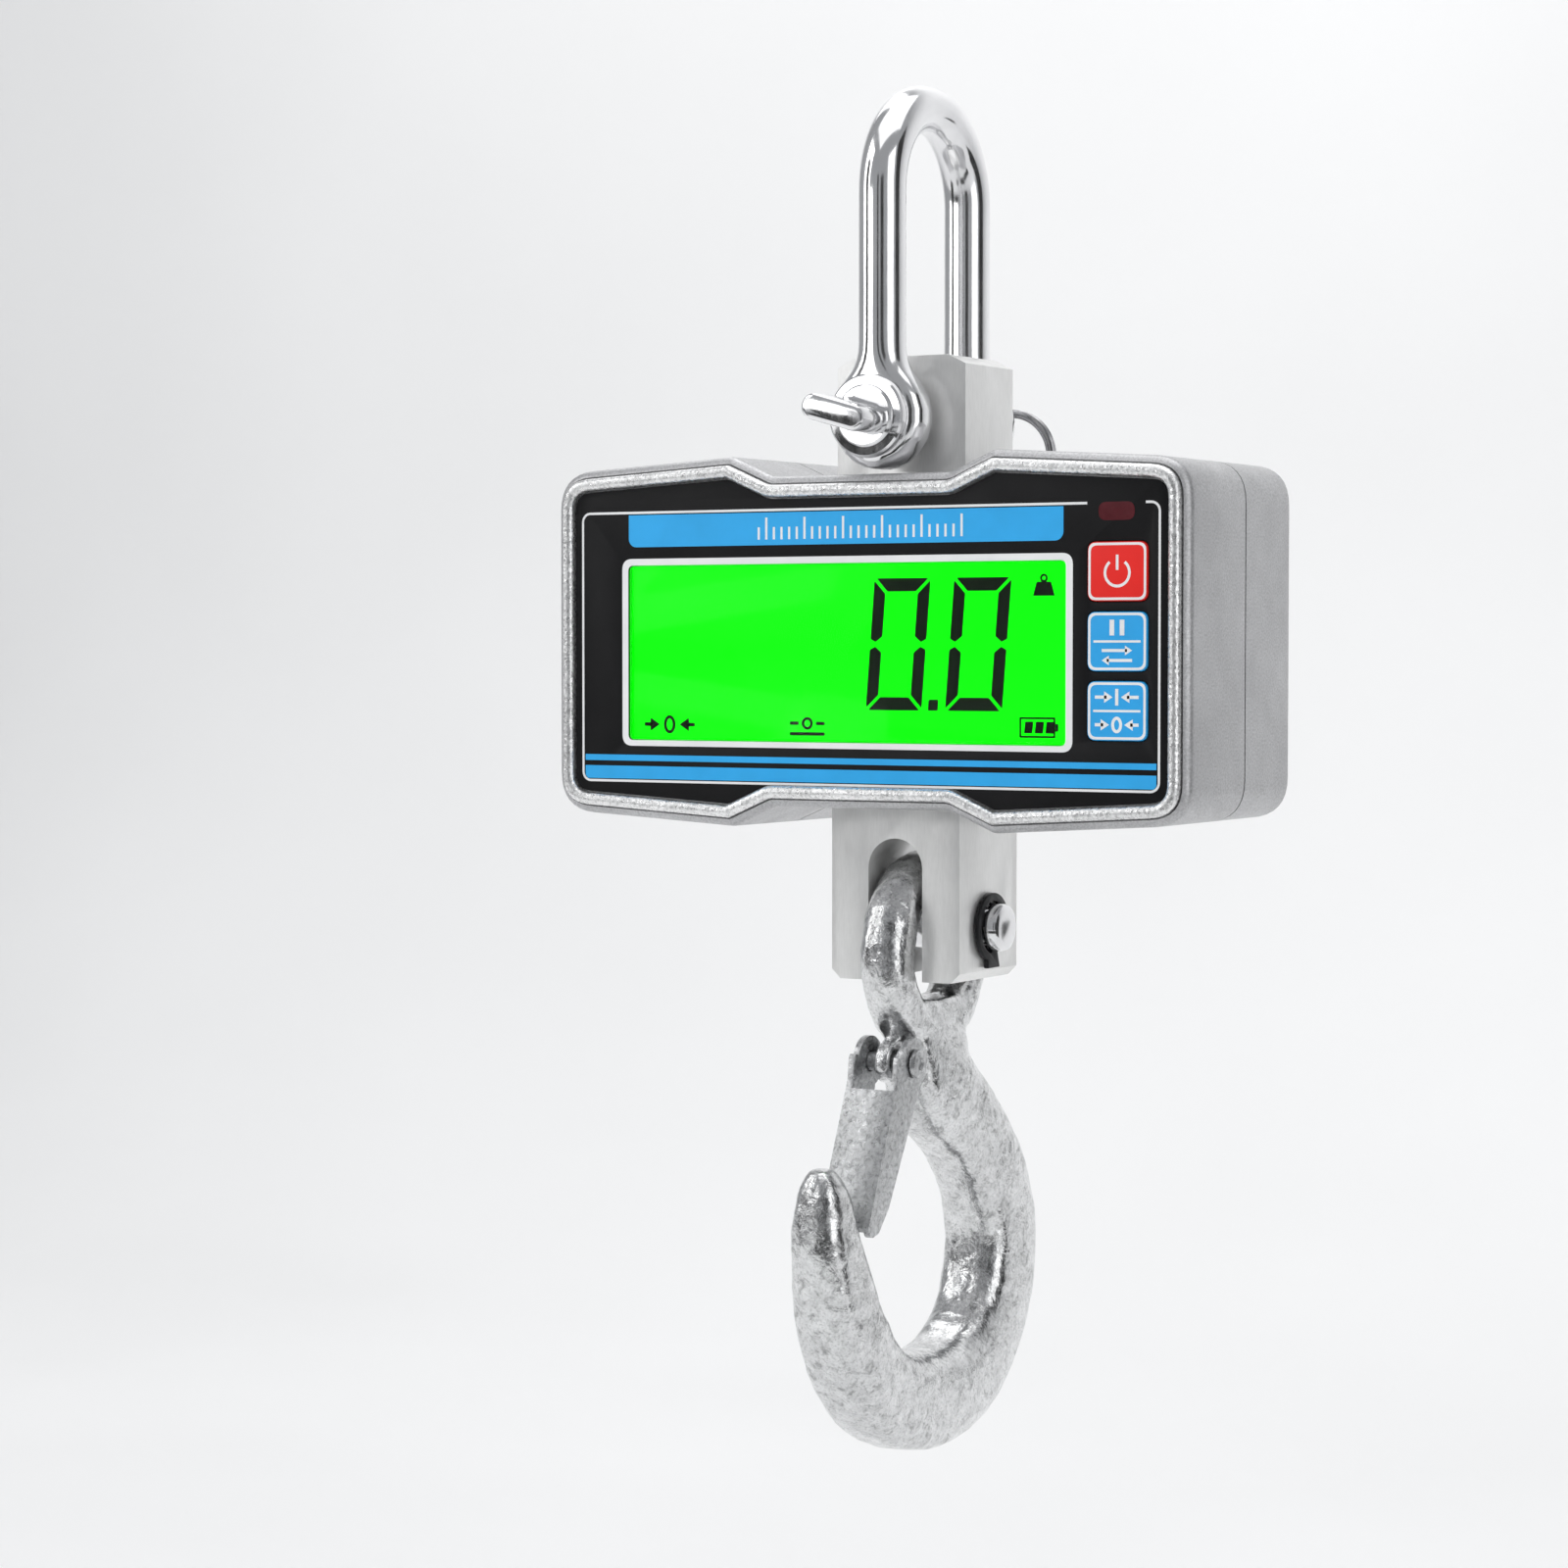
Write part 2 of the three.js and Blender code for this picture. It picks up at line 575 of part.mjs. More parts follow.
function rearShell() {
  const { rear, wall, seam } = HOUSING;
  const rearWall = rear - wall;
  const start = seam + GAP / 2;
  const hollow = shape3d([housingBlock()], [
    box([-90, 90], [-60, start], [-60, 60]),
    plateAcrossY(housingOutline(wall), -60, rearWall),
  ]);
  const posts = [
    ...screwPosts(CASE_SCREW_SPOTS, CASE_SCREW.postRadius, start, rearWall + 0.5, 16),
    ...screwPosts(DOOR_SCREW_SPOTS, 2.2, 15, rearWall + 0.5, 12),
  ];
  const pocketWidth = 2 * (DOOR.halfWidth + 0.4);
  const doorPocket = roundedRectangle(BATTERY.x, 0, pocketWidth, 2 * (DOOR.halfHeight + 0.4), 3.4);
  const cuts = [
    housingRing(0.8, 2.4, start - 1, start + 1.5),
    plateAcrossY(doorPocket, DOOR.front - GAP, rear + 1, 4),
    plateAcrossY(roundedRectangle(BATTERY.x, 0, 45.8, 52, 1.5), rearWall - 1, rear + 1, 3),
    ...screwPosts(CASE_SCREW_SPOTS, CASE_SCREW.shankRadius + GAP, -10, 30, 12),
    ...screwPosts(CASE_SCREW_SPOTS, CASE_SCREW.headRadius + 0.4, 22.2, 30, 20),
    ...screwPosts(DOOR_SCREW_SPOTS, 1.1, 16, 30, 12),
    ...columnOpenings(),
  ];
  return shape3d([hollow, ...posts], cuts);
}

// The seal stops short of the lug and the clevis, where the two column seals take over.
function shellGasket() {
  return [-1, 1].map((side) => {
    const beyondColumn = box([side < 0 ? -19 : -90, side < 0 ? 90 : 19], [-5, 4], [-60, 60]);
    const { seam } = HOUSING;
    return shape3d([housingRing(1.1, 2.1, seam, seam + 1.3)], [beyondColumn]);
  });
}

// A rubber collar round the column, between it and the edge of its opening in the housing.
function columnSeal(halfDepth, z0, z1) {
  const inner = [COLUMN_HALF_WIDTH + GAP, halfDepth + GAP];
  const outer = [COLUMN_HALF_WIDTH + COLUMN_CLEARANCE - GAP, halfDepth + COLUMN_CLEARANCE - GAP];
  return shape3d(
    [box([-outer[0], outer[0]], [-outer[1], outer[1]], [z0, z1])],
    [box([-inner[0], inner[0]], [-inner[1], inner[1]], [z0 - 1, z1 + 1])],
  );
}

function windowHole(extra) {
  const outline = roundedRectangle(LCD.x, LCD.z, LCD.width + extra, LCD.height + extra, 1.5);
  return plateAcrossY(outline, -36, -25, 3);
}

function keyHoles(extra) {
  return Object.values(KEY_ROWS).map((z) => {
    const outline = roundedRectangle(KEY.x, z, KEY.width + extra, KEY.height + extra, KEY.radius);
    return plateAcrossY(outline, -36, -25, 3);
  });
}

function overlayPanel() {
  const { inset, front, rear } = OVERLAY;
  return shape3d([plateAcrossY(housingOutline(inset), front, rear, 4)], [windowHole(0.8), ...keyHoles(0.6)]);
}

// A bead round the panel with both of its front edges rounded.
function bezelFrame() {
  const { outerInset, innerInset, front, rear, round } = BEZEL;
  const outline = housingOutline(outerInset + round);
  outline.holes.push(new THREE.Path(housingOutline(innerInset - round).getPoints(3)));
  const bead = new THREE.ExtrudeGeometry(outline, {
    depth: rear - front - round + 2,
    bevelThickness: round,
    bevelSize: round,
    bevelSegments: 2,
    curveSegments: 3,
  });
  bead.rotateX(-Math.PI / 2).translate(0, front + round, 0);
  return shape3d([bead], [box([-90, 90], [rear, 20], [-60, 60])]);
}

function displayPlate(extra, y0, y1) {
  return plateAcrossY(roundedRectangle(LCD.x, LCD.z, LCD.width + extra, LCD.height + extra, 1.2), y0, y1, 3);
}

// A key cap with a flange behind the front wall that keeps it in, and a stem over its switch.
function keyCap() {
  const { width, height, radius, front } = KEY;
  const flangeFront = HOUSING.frontWallRear + GAP;
  return shape3d([
    plateAcrossY(roundedRectangle(0, 0, width, height, radius), front, flangeFront + 0.5, 3),
    plateAcrossY(roundedRectangle(0, 0, width + 1.4, height + 1.4, 1), flangeFront, flangeFront + 1, 2),
    cylinder("y", 1.8, flangeFront + 0.5, -26.2, [0, 0], 12),
  ]);
}

function keySwitch() {
  return shape3d([
    box([-3, 3], [-24.6, BOARD.front - GAP], [-3, 3]),
    cylinder("y", 1.6, -25.3, -24, [0, 0], 12),
  ]);
}

function mainBoard() {
  const holes = BOARD_SCREW_SPOTS.map((spot) => cylinder("y", 1.3, -30, 0, spot, 12));
  const outline = roundedRectangle(0, 0, 2 * BOARD.halfWidth, 2 * BOARD.halfHeight, 1);
  return shape3d([plateAcrossY(outline, BOARD.front, BOARD.rear, 2)], holes);
}

// A pan head screw along Y. Its head's rear face is at y = 0 and its shank runs towards -Y.
function panScrew(headRadius, headThickness, shankRadius, shankLength) {
  const profile = [
    [0, -headThickness - shankLength],
    [shankRadius, -headThickness - shankLength],
    [shankRadius, -headThickness],
    [headRadius, -headThickness],
    [headRadius, -0.5],
    [headRadius - 0.5, 0],
    [0, 0],
  ];
  const body = new THREE.LatheGeometry(profile.map(([r, y]) => new THREE.Vector2(r, y)), 12);
  const slots = [box([-headRadius * 0.6, headRadius * 0.6], [-0.8, 1], [-0.35, 0.35])];
  slots.push(box([-0.35, 0.35], [-0.8, 1], [-headRadius * 0.6, headRadius * 0.6]));
  return shape3d([body], slots);
}

function batteryHolder() {
  const [halfX, halfZ, front, rear] = [23, 26.3, 3.9, 21.5];
  const bay = box([-halfX + 0.5, halfX - 0.5], [front + 1.2, rear + 1], [-halfZ + 0.7, halfZ - 0.7]);
  return shape3d([box([-halfX, halfX], [front, rear], [-halfZ, halfZ])], [bay]);
}

function batteryCell() {
  const { cellRadius, cellLength } = BATTERY;
  const [half, nub] = [cellLength / 2, 1.4];
  const profile = [
    [0, -half],
    [cellRadius - 0.4, -half],
    [cellRadius, -half + 0.4],
    [cellRadius, half - nub - 0.4],
    [cellRadius - 0.4, half - nub],
    [2.6, half - nub],
    [2.6, half],
    [0, half],
  ];
  return new THREE.LatheGeometry(profile.map(([r, y]) => new THREE.Vector2(r, y)), 16).rotateX(Math.PI / 2);
}

// The door's own frame has its origin at the middle of the door's rear face.
function batteryDoor() {
  const thickness = DOOR.rear - DOOR.front;
  const outline = roundedRectangle(0, 0, 2 * DOOR.halfWidth, 2 * DOOR.halfHeight, 3);
  const cuts = [-1, 1].flatMap((side) => [
    cylinder("y", 1.1, -10, 10, [0, side * DOOR.screwZ], 12),
    cylinder("y", 2.4, -1.3, 1, [0, side * DOOR.screwZ], 16),
  ]);
  return shape3d([plateAcrossY(outline, -thickness, 0, 4)], cuts);
}

function wire(points, radius) {
  const path = new THREE.CatmullRomCurve3(points.map((p) => new THREE.Vector3(...p)));
  const section = new THREE.Shape();
  section.absarc(0, 0, radius, 0, 2 * Math.PI, false);
  return new THREE.ExtrudeGeometry(section, { steps: 12, extrudePath: path, curveSegments: 3 });
}

// ---- Hook and latch -----------------------------------------------------------------------------

// Smooth sections through the hook's stations, each as a ring across the centre line.
function hookBody() {
  const centreLine = new THREE.CatmullRomCurve3(HOOK_SECTIONS.map(([y, z]) => new THREE.Vector3(0, y, z)));
  const sizes = new THREE.CatmullRomCurve3(HOOK_SECTIONS.map(([, , d, t]) => new THREE.Vector3(d, t, 0)));
  const steps = 2 * (HOOK_SECTIONS.length - 1);
  return loft(Array.from({ length: steps + 1 }, (_, i) => {
    const size = sizes.getPoint(i / steps);
    return ringAt(centreLine.getPoint(i / steps), centreLine.getTangent(i / steps), size.x, size.y, 14, 2.4);
  }));
}

function hookEye() {
  const { eyeInnerRadius, eyeRadialThickness, eyeHalfThickness } = HOOK;
  const centreZ = CLEVIS_PIN.radius + GAP - eyeInnerRadius;
  const middleRadius = eyeInnerRadius + eyeRadialThickness / 2;
  const steps = 28;
  const rings = Array.from({ length: steps }, (_, i) => {
    const angle = (2 * Math.PI * i) / steps;
    const centreY = middleRadius * Math.cos(angle);
    const centre = new THREE.Vector3(0, centreY, centreZ + middleRadius * Math.sin(angle));
    const along = new THREE.Vector3(0, -Math.sin(angle), Math.cos(angle));
    return ringAt(centre, along, eyeRadialThickness / 2, eyeHalfThickness, 12, 2.3);
  });
  return closedLoft(rings);
}

// The same skin as loft, joined end to end instead of capped.
function closedLoft(rings) {
  const sides = rings[0].length;
  const positions = [];
  rings.forEach((ring, r) => {
    const next = rings[(r + 1) % rings.length];
    for (let s = 0; s < sides; s += 1) {
      const t = (s + 1) % sides;
      for (const p of [ring[s], ring[t], next[t], ring[s], next[t], next[s]]) positions.push(p.x, p.y, p.z);
    }
  });
  return new THREE.BufferGeometry().setAttribute("position", new THREE.Float32BufferAttribute(positions, 3));
}

function forgedHook() {
  const [rivetY, rivetZ] = HOOK.rivet;
  const latchLug = new THREE.Shape();
  latchLug.moveTo(0, rivetZ - 11);
  latchLug.lineTo(-3, rivetZ + 9);
  latchLug.lineTo(rivetY + 2, rivetZ + 4.9);
  latchLug.absarc(rivetY, rivetZ, 5.2, Math.PI * 0.38, Math.PI * 1.6, false);
  latchLug.closePath();
  const { lugHalfThickness } = HOOK;
  const joined = [hookBody(), hookEye(), plateAcrossX(latchLug, -lugHalfThickness, lugHalfThickness, 8)];
  return shape3d(joined, [cylinder("x", LATCH.rivetRadius + GAP, -20, 20, HOOK.rivet, 20)]);
}

// A channel pressed from sheet: a web in front and two cheeks whose ears straddle the hook's lug.
function latchChannel() {
  const { halfWidth, sheet, earRadius, rivetRadius, cheek, webTop } = LATCH;
  const side = new THREE.Shape(cheek.map(([y, z]) => new THREE.Vector2(y, z)));
  const whole = shape3d([
    plateAcrossX(side, -halfWidth, halfWidth),
    cylinder("x", earRadius, -halfWidth, halfWidth, [0, 0], 24),
  ]);
  const inside = halfWidth - sheet;
  const slant = Math.atan2(cheek[2][0] - cheek[1][0], cheek[1][1] - cheek[2][1]);
  const hollow = box([-inside, inside], [sheet, 60], [-80, 80])
    .rotateX(slant)
    .translate(0, cheek[1][0], cheek[1][1]);
  const topOpening = box([-inside, inside], [-30, 30], [webTop, 20]);
  const rivetHole = cylinder("x", rivetRadius + GAP, -20, 20, [0, 0], 20);
  return shape3d([whole], [hollow, topOpening, rivetHole]);
}

function latchRivet() {
  const { halfWidth, rivetRadius } = LATCH;
  const [face, head] = [halfWidth + GAP, 1.2];
  return shape3d([
    cylinder("x", rivetRadius, -face - 0.5, face + 0.5, [0, 0], 20),
    cylinder("x", 3.4, face, face + head, [0, 0], 20),
    cylinder("x", 3.4, -face - head, -face, [0, 0], 20),
  ]);
}

// Torsion spring: two turns round the rivet beside the lug, and a leg that presses on the web.
function latchSpring() {
  const [coilRadius, wireRadius, turns, steps] = [3.4, 0.35, 1.9, 30];
  const shift = 1.65; // of the wire along the rivet over all of its turns
  const startAngle = 1.155 * Math.PI; // the last turn then leaves straight down towards the web
  const start = HOOK.lugHalfThickness + 0.2 + wireRadius;
  const points = Array.from({ length: steps + 1 }, (_, i) => {
    const angle = startAngle + (2 * Math.PI * turns * i) / steps;
    const x = start + (shift * i) / steps;
    return new THREE.Vector3(x, coilRadius * Math.cos(angle), coilRadius * Math.sin(angle));
  });
  points.push(new THREE.Vector3(start + shift, -4.4, -7), new THREE.Vector3(start + shift, -11.6, -19));
  const path = new THREE.CatmullRomCurve3(points);
  const section = new THREE.Shape();
  section.absarc(0, 0, wireRadius, 0, 2 * Math.PI, false);
  return new THREE.ExtrudeGeometry(section, { steps: 40, extrudePath: path, curveSegments: 3 });
}

// ---- Assembly -----------------------------------------------------------------------------------

const craneScale = new THREE.Group();

addPiece(craneScale, "shackle_bow", shackleBow(), POLISHED_STEEL);
const pinAxis = addGroup(craneScale, [0, 0, -SHACKLE.pinDrop]);
addPiece(pinAxis, "shackle_pin", shacklePin(), POLISHED_STEEL);
addPiece(pinAxis, "split_ring", splitRing(), SCREW_STEEL, [0, SHACKLE_PIN.ringHoleY, 0]);

const clevisAxis = addGroup(pinAxis, [0, 0, -CLEVIS_PIN_DROP]);
const cellTop = LUG.bottom - GAP;
const clevisTop = CLEVIS.top - CLEVIS_PIN_DROP;
addPiece(pinAxis, "upper_lug", upperLug(), MACHINED_ALUMINIUM);
addPiece(pinAxis, "load_cell", loadCell(), MACHINED_ALUMINIUM, [0, 0, cellTop - CELL.height / 2]);
addPiece(clevisAxis, "lower_clevis", lowerClevis(), MACHINED_ALUMINIUM);
for (const [name, joint] of [["upper_stud", LUG.bottom], ["lower_stud", clevisTop]]) {
  const stud = cylinder("z", CELL.studRadius, 0.5 - CELL.studReach, CELL.studReach - 0.5, [0, 0], 20);
  addPiece(pinAxis, name, stud, SCREW_STEEL, [0, 0, joint]);
}
addPiece(clevisAxis, "clevis_pin", clevisPin(), POLISHED_STEEL);
addPiece(clevisAxis, "e_clip_right", retainingClip(), BLACK_STEEL, [CLEVIS_PIN.clipFace, 0, 0]);
const leftClipX = -CLEVIS_PIN.clipFace - CLEVIS_PIN.clipThickness;
addPiece(clevisAxis, "e_clip_left", retainingClip(), BLACK_STEEL, [leftClipX, 0, 0]);

const housing = addGroup(pinAxis, [0, 0, -HOUSING.drop]);
addPiece(housing, "front_shell", frontShell(), CAST_ALUMINIUM);
addPiece(housing, "rear_shell", rearShell(), CAST_ALUMINIUM);
const gasketNames = ["shell_gasket_left", "shell_gasket_right"];
shellGasket().forEach((half, i) => addPiece(housing, gasketNames[i], half, RUBBER));
addPiece(housing, "bezel_frame", bezelFrame(), BRIGHT_ALUMINIUM);
addPiece(housing, "overlay_panel", overlayPanel(), PANEL_BLACK);
addPiece(housing, "top_seal", columnSeal(LUG.halfDepth, 34.8, 37.5), RUBBER);
addPiece(housing, "bottom_seal", columnSeal(CLEVIS.halfDepth, -37.5, -34.8), RUBBER);
addPiece(housing, "display_window", displayPlate(0, -31.9, -31), WINDOW_CLEAR);
addPiece(housing, "display_glass", displayPlate(0, -30.7, -28.2), DISPLAY_GREEN);
addPiece(housing, "backlight_plate", displayPlate(5, -27.9, -24), DIFFUSER_WHITE);
addPiece(housing, "main_board", mainBoard(), BOARD_GREEN);
const receiver = box([-2.5, 2.5], [-25.5, BOARD.front - GAP], [-2.5, 2.5]);
addPiece(housing, "infrared_receiver", receiver, PART_BLACK, [60, 0, 27]);
addPiece(housing, "buzzer", cylinder("y", 5.5, BOARD.rear + GAP, -13, [0, 0], 16), PART_BLACK, [-48, 0, 12]);
for (const [i, [name, z]] of Object.entries(KEY_ROWS).entries()) {
  addPiece(housing, name, keyCap(), name === "power_key" ? KEY_RED : KEY_BLUE, [KEY.x, 0, z]);
  addPiece(housing, `key_switch_${i + 1}`, keySwitch(), PART_BLACK, [KEY.x, 0, z]);
}
CASE_SCREW_SPOTS.forEach(([x, z], i) => {
  const screw = panScrew(CASE_SCREW.headRadius, 2, CASE_SCREW.shankRadius, 36);
  addPiece(housing, `case_screw_${i + 1}`, screw, SCREW_STEEL, [x, 24.5, z]);
});
BOARD_SCREW_SPOTS.forEach(([x, z], i) => {
  addPiece(housing, `board_screw_${i + 1}`, panScrew(2.2, 1.3, 1, 5.5), SCREW_STEEL, [x, -19.1, z]);
});

addPiece(housing, "battery_holder", batteryHolder(), PART_BLACK, [BATTERY.x, 0, 0]);
for (const i of [-1, 0, 1]) {
  const cell = addPiece(housing, `battery_cell_${i + 2}`, batteryCell(), CELL_SLEEVE);
  cell.position.set(BATTERY.x + i * BATTERY.pitch, BATTERY.y, 0);
  cell.rotation.x = i === 0 ? Math.PI : 0;
}
const door = addGroup(housing, [BATTERY.x, DOOR.rear, 0]);
addPiece(door, "battery_door", batteryDoor(), CAST_ALUMINIUM);
[-1, 1].forEach((side, i) => {
  const spot = [0, -0.1, side * DOOR.screwZ];
  addPiece(door, `door_screw_${i + 1}`, panScrew(2.1, 0.9, 0.8, 5), SCREW_STEEL, spot);
});
const gaugeCableRoute = [[-17, 0, 0], [-21, -2, -2], [-24, -8, -6], [-26, -15, -9], [-27, -20.1, -10]];
addPiece(housing, "gauge_cable", wire(gaugeCableRoute, 1), CABLE_GREY);
const batteryLeadRoute = [[20, 9, 15], [19, 4, 13], [19.5, -4, 9], [22, -14, 6], [23, -20, 5]];
addPiece(housing, "battery_lead", wire(batteryLeadRoute, 0.9), CABLE_GREY);

addPiece(clevisAxis, "hook", forgedHook(), GALVANISED_STEEL);
const rivetAxis = addGroup(clevisAxis, [0, ...HOOK.rivet]);
addPiece(rivetAxis, "latch", latchChannel(), ZINC_SHEET);
addPiece(rivetAxis, "latch_rivet", latchRivet(), SCREW_STEEL);
addPiece(rivetAxis, "latch_spring", latchSpring(), SCREW_STEEL);

export default craneScale;
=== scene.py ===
"""Looks of the crane scale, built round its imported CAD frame. Lengths are in millimetres up to mesh()."""

import json
import math

import bmesh
import bpy
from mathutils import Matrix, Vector, noise


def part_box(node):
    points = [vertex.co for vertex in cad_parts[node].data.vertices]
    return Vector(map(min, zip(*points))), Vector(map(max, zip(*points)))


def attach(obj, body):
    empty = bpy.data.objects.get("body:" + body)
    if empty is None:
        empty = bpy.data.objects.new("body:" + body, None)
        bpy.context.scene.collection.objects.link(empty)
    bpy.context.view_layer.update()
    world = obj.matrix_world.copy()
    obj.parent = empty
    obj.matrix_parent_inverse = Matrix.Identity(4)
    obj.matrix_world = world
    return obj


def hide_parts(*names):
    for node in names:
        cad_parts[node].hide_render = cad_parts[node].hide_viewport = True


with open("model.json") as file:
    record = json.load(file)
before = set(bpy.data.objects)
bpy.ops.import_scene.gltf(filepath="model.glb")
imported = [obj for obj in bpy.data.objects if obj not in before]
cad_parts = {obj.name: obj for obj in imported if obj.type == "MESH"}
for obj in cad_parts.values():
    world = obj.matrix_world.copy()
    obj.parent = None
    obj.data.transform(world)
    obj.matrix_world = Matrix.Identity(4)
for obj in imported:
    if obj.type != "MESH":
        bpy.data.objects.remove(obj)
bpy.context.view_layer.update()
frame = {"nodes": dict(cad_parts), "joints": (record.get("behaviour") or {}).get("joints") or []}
MM = 0.001
PI = math.pi


def node_box(node):
    low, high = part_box(node)
    return [c / MM for c in low], [c / MM for c in high]


def joint_place(name):
    joint = next(j for j in frame["joints"] if j["name"] == name)
    return [c / MM for c in joint["pos_m"]]


def centre_xz(low, high):
    return (low[0] + high[0]) / 2, (low[2] + high[2]) / 2


# Axes and planes that the pieces are placed from, read from the frame.
PIN_Z = joint_place("scale_swing")[2]
CLEVIS_Z = joint_place("hook_swing")[2]
_, LATCH_Y, LATCH_Z = joint_place("latch_hinge")
SHELL_LOW, SHELL_HIGH = node_box("front_shell")
REAR_Y = node_box("rear_shell")[1][1]
MID_Z = (SHELL_LOW[2] + SHELL_HIGH[2]) / 2
FRONT_Y = SHELL_LOW[1]


# ---- Meshes ----

def add(name, data):
    obj = bpy.data.objects.new(name, data)
    bpy.context.scene.collection.objects.link(obj)
    return obj


def mesh(name, verts, faces, angle=32, unit=MM):
    data = bpy.data.meshes.new(name)
    data.from_pydata([(x * unit, y * unit, z * unit) for x, y, z in verts], [], faces)
    obj = add(name, data)
    tidy(obj, angle)
    return obj


def tidy(obj, angle=32):
    """Turns the faces outwards and shades the object smooth, with sharp edges over the angle in degrees."""
    data = obj.data
    bm = bmesh.new()
    bm.from_mesh(data)
    bmesh.ops.recalc_face_normals(bm, faces=bm.faces)
    bm.to_mesh(data)
    bm.free()
    for polygon in data.polygons:
        polygon.use_smooth = True
    data.set_sharp_from_angle(angle=math.radians(angle))


def bake(obj, angle=32):
    """Turns the object's modifiers into its mesh."""
    bpy.context.view_layer.update()
    graph = bpy.context.evaluated_depsgraph_get()
    data = bpy.data.meshes.new_from_object(obj.evaluated_get(graph))
    obj.modifiers.clear()
    obj.data = data
    tidy(obj, angle)
    return obj


def modify(obj, kind, **settings):
    modifier = obj.modifiers.new(kind.title(), kind)
    for key, value in settings.items():
        setattr(modifier, key, value)


def boolean(obj, others, operation):
    for other in others:
        modify(obj, "BOOLEAN", object=other, operation=operation, solver="MANIFOLD")
    bake(obj)
    for other in others:
        bpy.data.objects.remove(other)
    return obj


def cut(obj, *cutters):
    return boolean(obj, cutters, "DIFFERENCE")


def unite(obj, *others):
    return boolean(obj, others, "UNION")


def bevel(obj, width, segments=3, angle=40, shade=32):
    limit = math.radians(angle)
    modify(obj, "BEVEL", width=width * MM, segments=segments, limit_method="ANGLE", angle_limit=limit)
    return bake(obj, shade)


def merge(name, parts, angle=32):
    """Joins objects into one object of that name."""
    verts, faces = [], []
    for part in parts:
        base = len(verts)
        verts += [tuple(v.co) for v in part.data.vertices]
        faces += [[base + i for i in polygon.vertices] for polygon in part.data.polygons]
    obj = mesh(name, verts, faces, angle, unit=1)
    for part in parts:
        bpy.data.objects.remove(part)
    return obj


def skin(name, rings, closed=False, angle=32):
    """A surface through rings of equally many points, closed end to end or with flat ends."""
    sides = len(rings[0])
    verts = [tuple(p) for ring in rings for p in ring]
    faces = []
    count = len(rings)
    for r in range(count if closed else count - 1):
        a, b = r * sides, ((r + 1) % count) * sides
        faces += [(a + s, a + (s + 1) % sides, b + (s + 1) % sides, b + s) for s in range(sides)]
    if not closed:
        faces.append(tuple(range(sides))[::-1])
        faces.append(tuple((count - 1) * sides + s for s in range(sides)))
    return mesh(name, verts, faces, angle)


def squared(value, power):
    """Carries a sine or a cosine from a round section, at power 2, towards a square one."""
    return math.copysign(abs(value) ** (2 / power), value)


def oval(centre, u, v, a, b, sides=32, power=2.0):
    ring = []
    for s in range(sides):
        t = 2 * PI * (s + 0.5) / sides
        c, d = squared(math.cos(t), power), squared(math.sin(t), power)
        ring.append(Vector(centre) + Vector(u) * (a * c) + Vector(v) * (b * d))
    return ring


def lathe(name, profile, axis="y", centre=(0, 0, 0), sides=48, angle=32):
    """Turns a profile of (radius, position along the axis) round an axis. It starts and ends on the axis."""
    u, v, w = {"x": ((0, 1, 0), (0, 0, 1), (1, 0, 0)), "y": ((0, 0, 1), (1, 0, 0), (0, 1, 0)),
               "z": ((1, 0, 0), (0, 1, 0), (0, 0, 1))}[axis]
    rings = []
    for radius, position in profile:
        radius = max(radius, 0.01)
        rings.append(oval(Vector(centre) + Vector(w) * position, u, v, radius, radius, sides))
    return skin(name, rings, angle=angle)


def rod(axis, radius, low, high, centre=(0, 0, 0), sides=48):
    """A round rod along an axis, for cutting bores and for plain round parts."""
    return lathe("rod", [(0, low), (radius, low), (radius, high), (0, high)], axis, centre, sides)


def bar(name, points, radius, sides=16, closed=False, up=(1, 0, 0), flat=1.0):
    """A bar along points: round, or flattened across the up direction."""
    points = [Vector(p) for p in points]
    count = len(points)
    rings = []
    for i, p in enumerate(points):
        before = points[(i - 1) % count] if closed or i else p
        after = points[(i + 1) % count] if closed or i + 1 < count else p
        along = (after - before).normalized()
        side = along.cross(Vector(up)).normalized()
        rings.append(oval(p, side, side.cross(along), radius, radius * flat, sides))
    return skin(name, rings, closed=closed)


def round_corners(points, segments=6):
    """A polygon of points [u, v, radius] with every corner rounded by equally many points."""
    out = []
    count = len(points)
    for i, (u, v, radius) in enumerate(points):
        corner = Vector((u, v))
        before = Vector(points[i - 1][:2]) - corner
        after = Vector(points[(i + 1) % count][:2]) - corner
        half = before.angle(after) / 2
        reach = min(radius / math.tan(half), before.length / 2.01, after.length / 2.01)
        start, end = corner + before.normalized() * reach, corner + after.normalized() * reach
        for k in range(segments + 1):
            t = k / segments
            out.append(tuple(start * (1 - t) ** 2 + corner * (2 * t * (1 - t)) + end * t * t))
    return out


def rectangle(x, z, width, height, radius, segments=6):
    w, h = width / 2, height / 2
    corners = [(x - w, z - h), (x + w, z - h), (x + w, z + h), (x - w, z + h)]
    return round_corners([(u, v, radius) for u, v in corners], segments)


def arc(centre, radius, start, end, steps=6):
    out = []
    for i in range(steps + 1):
        t = math.radians(start + (end - start) * i / steps)
        out.append((centre[0] + radius * math.cos(t), centre[1] + radius * math.sin(t)))
    return out


def slab(name, outline, low, high, axis="y"):
    """A prism along x or y: the outline is in the plane across it."""
    count = len(outline)
    verts = [(w, u, v) if axis == "x" else (u, w, v) for w in (low, high) for u, v in outline]
    faces = [tuple(range(count))[::-1], tuple(range(count, 2 * count))]
    faces += [(i, (i + 1) % count, count + (i + 1) % count, count + i) for i in range(count)]
    return mesh(name, verts, faces)


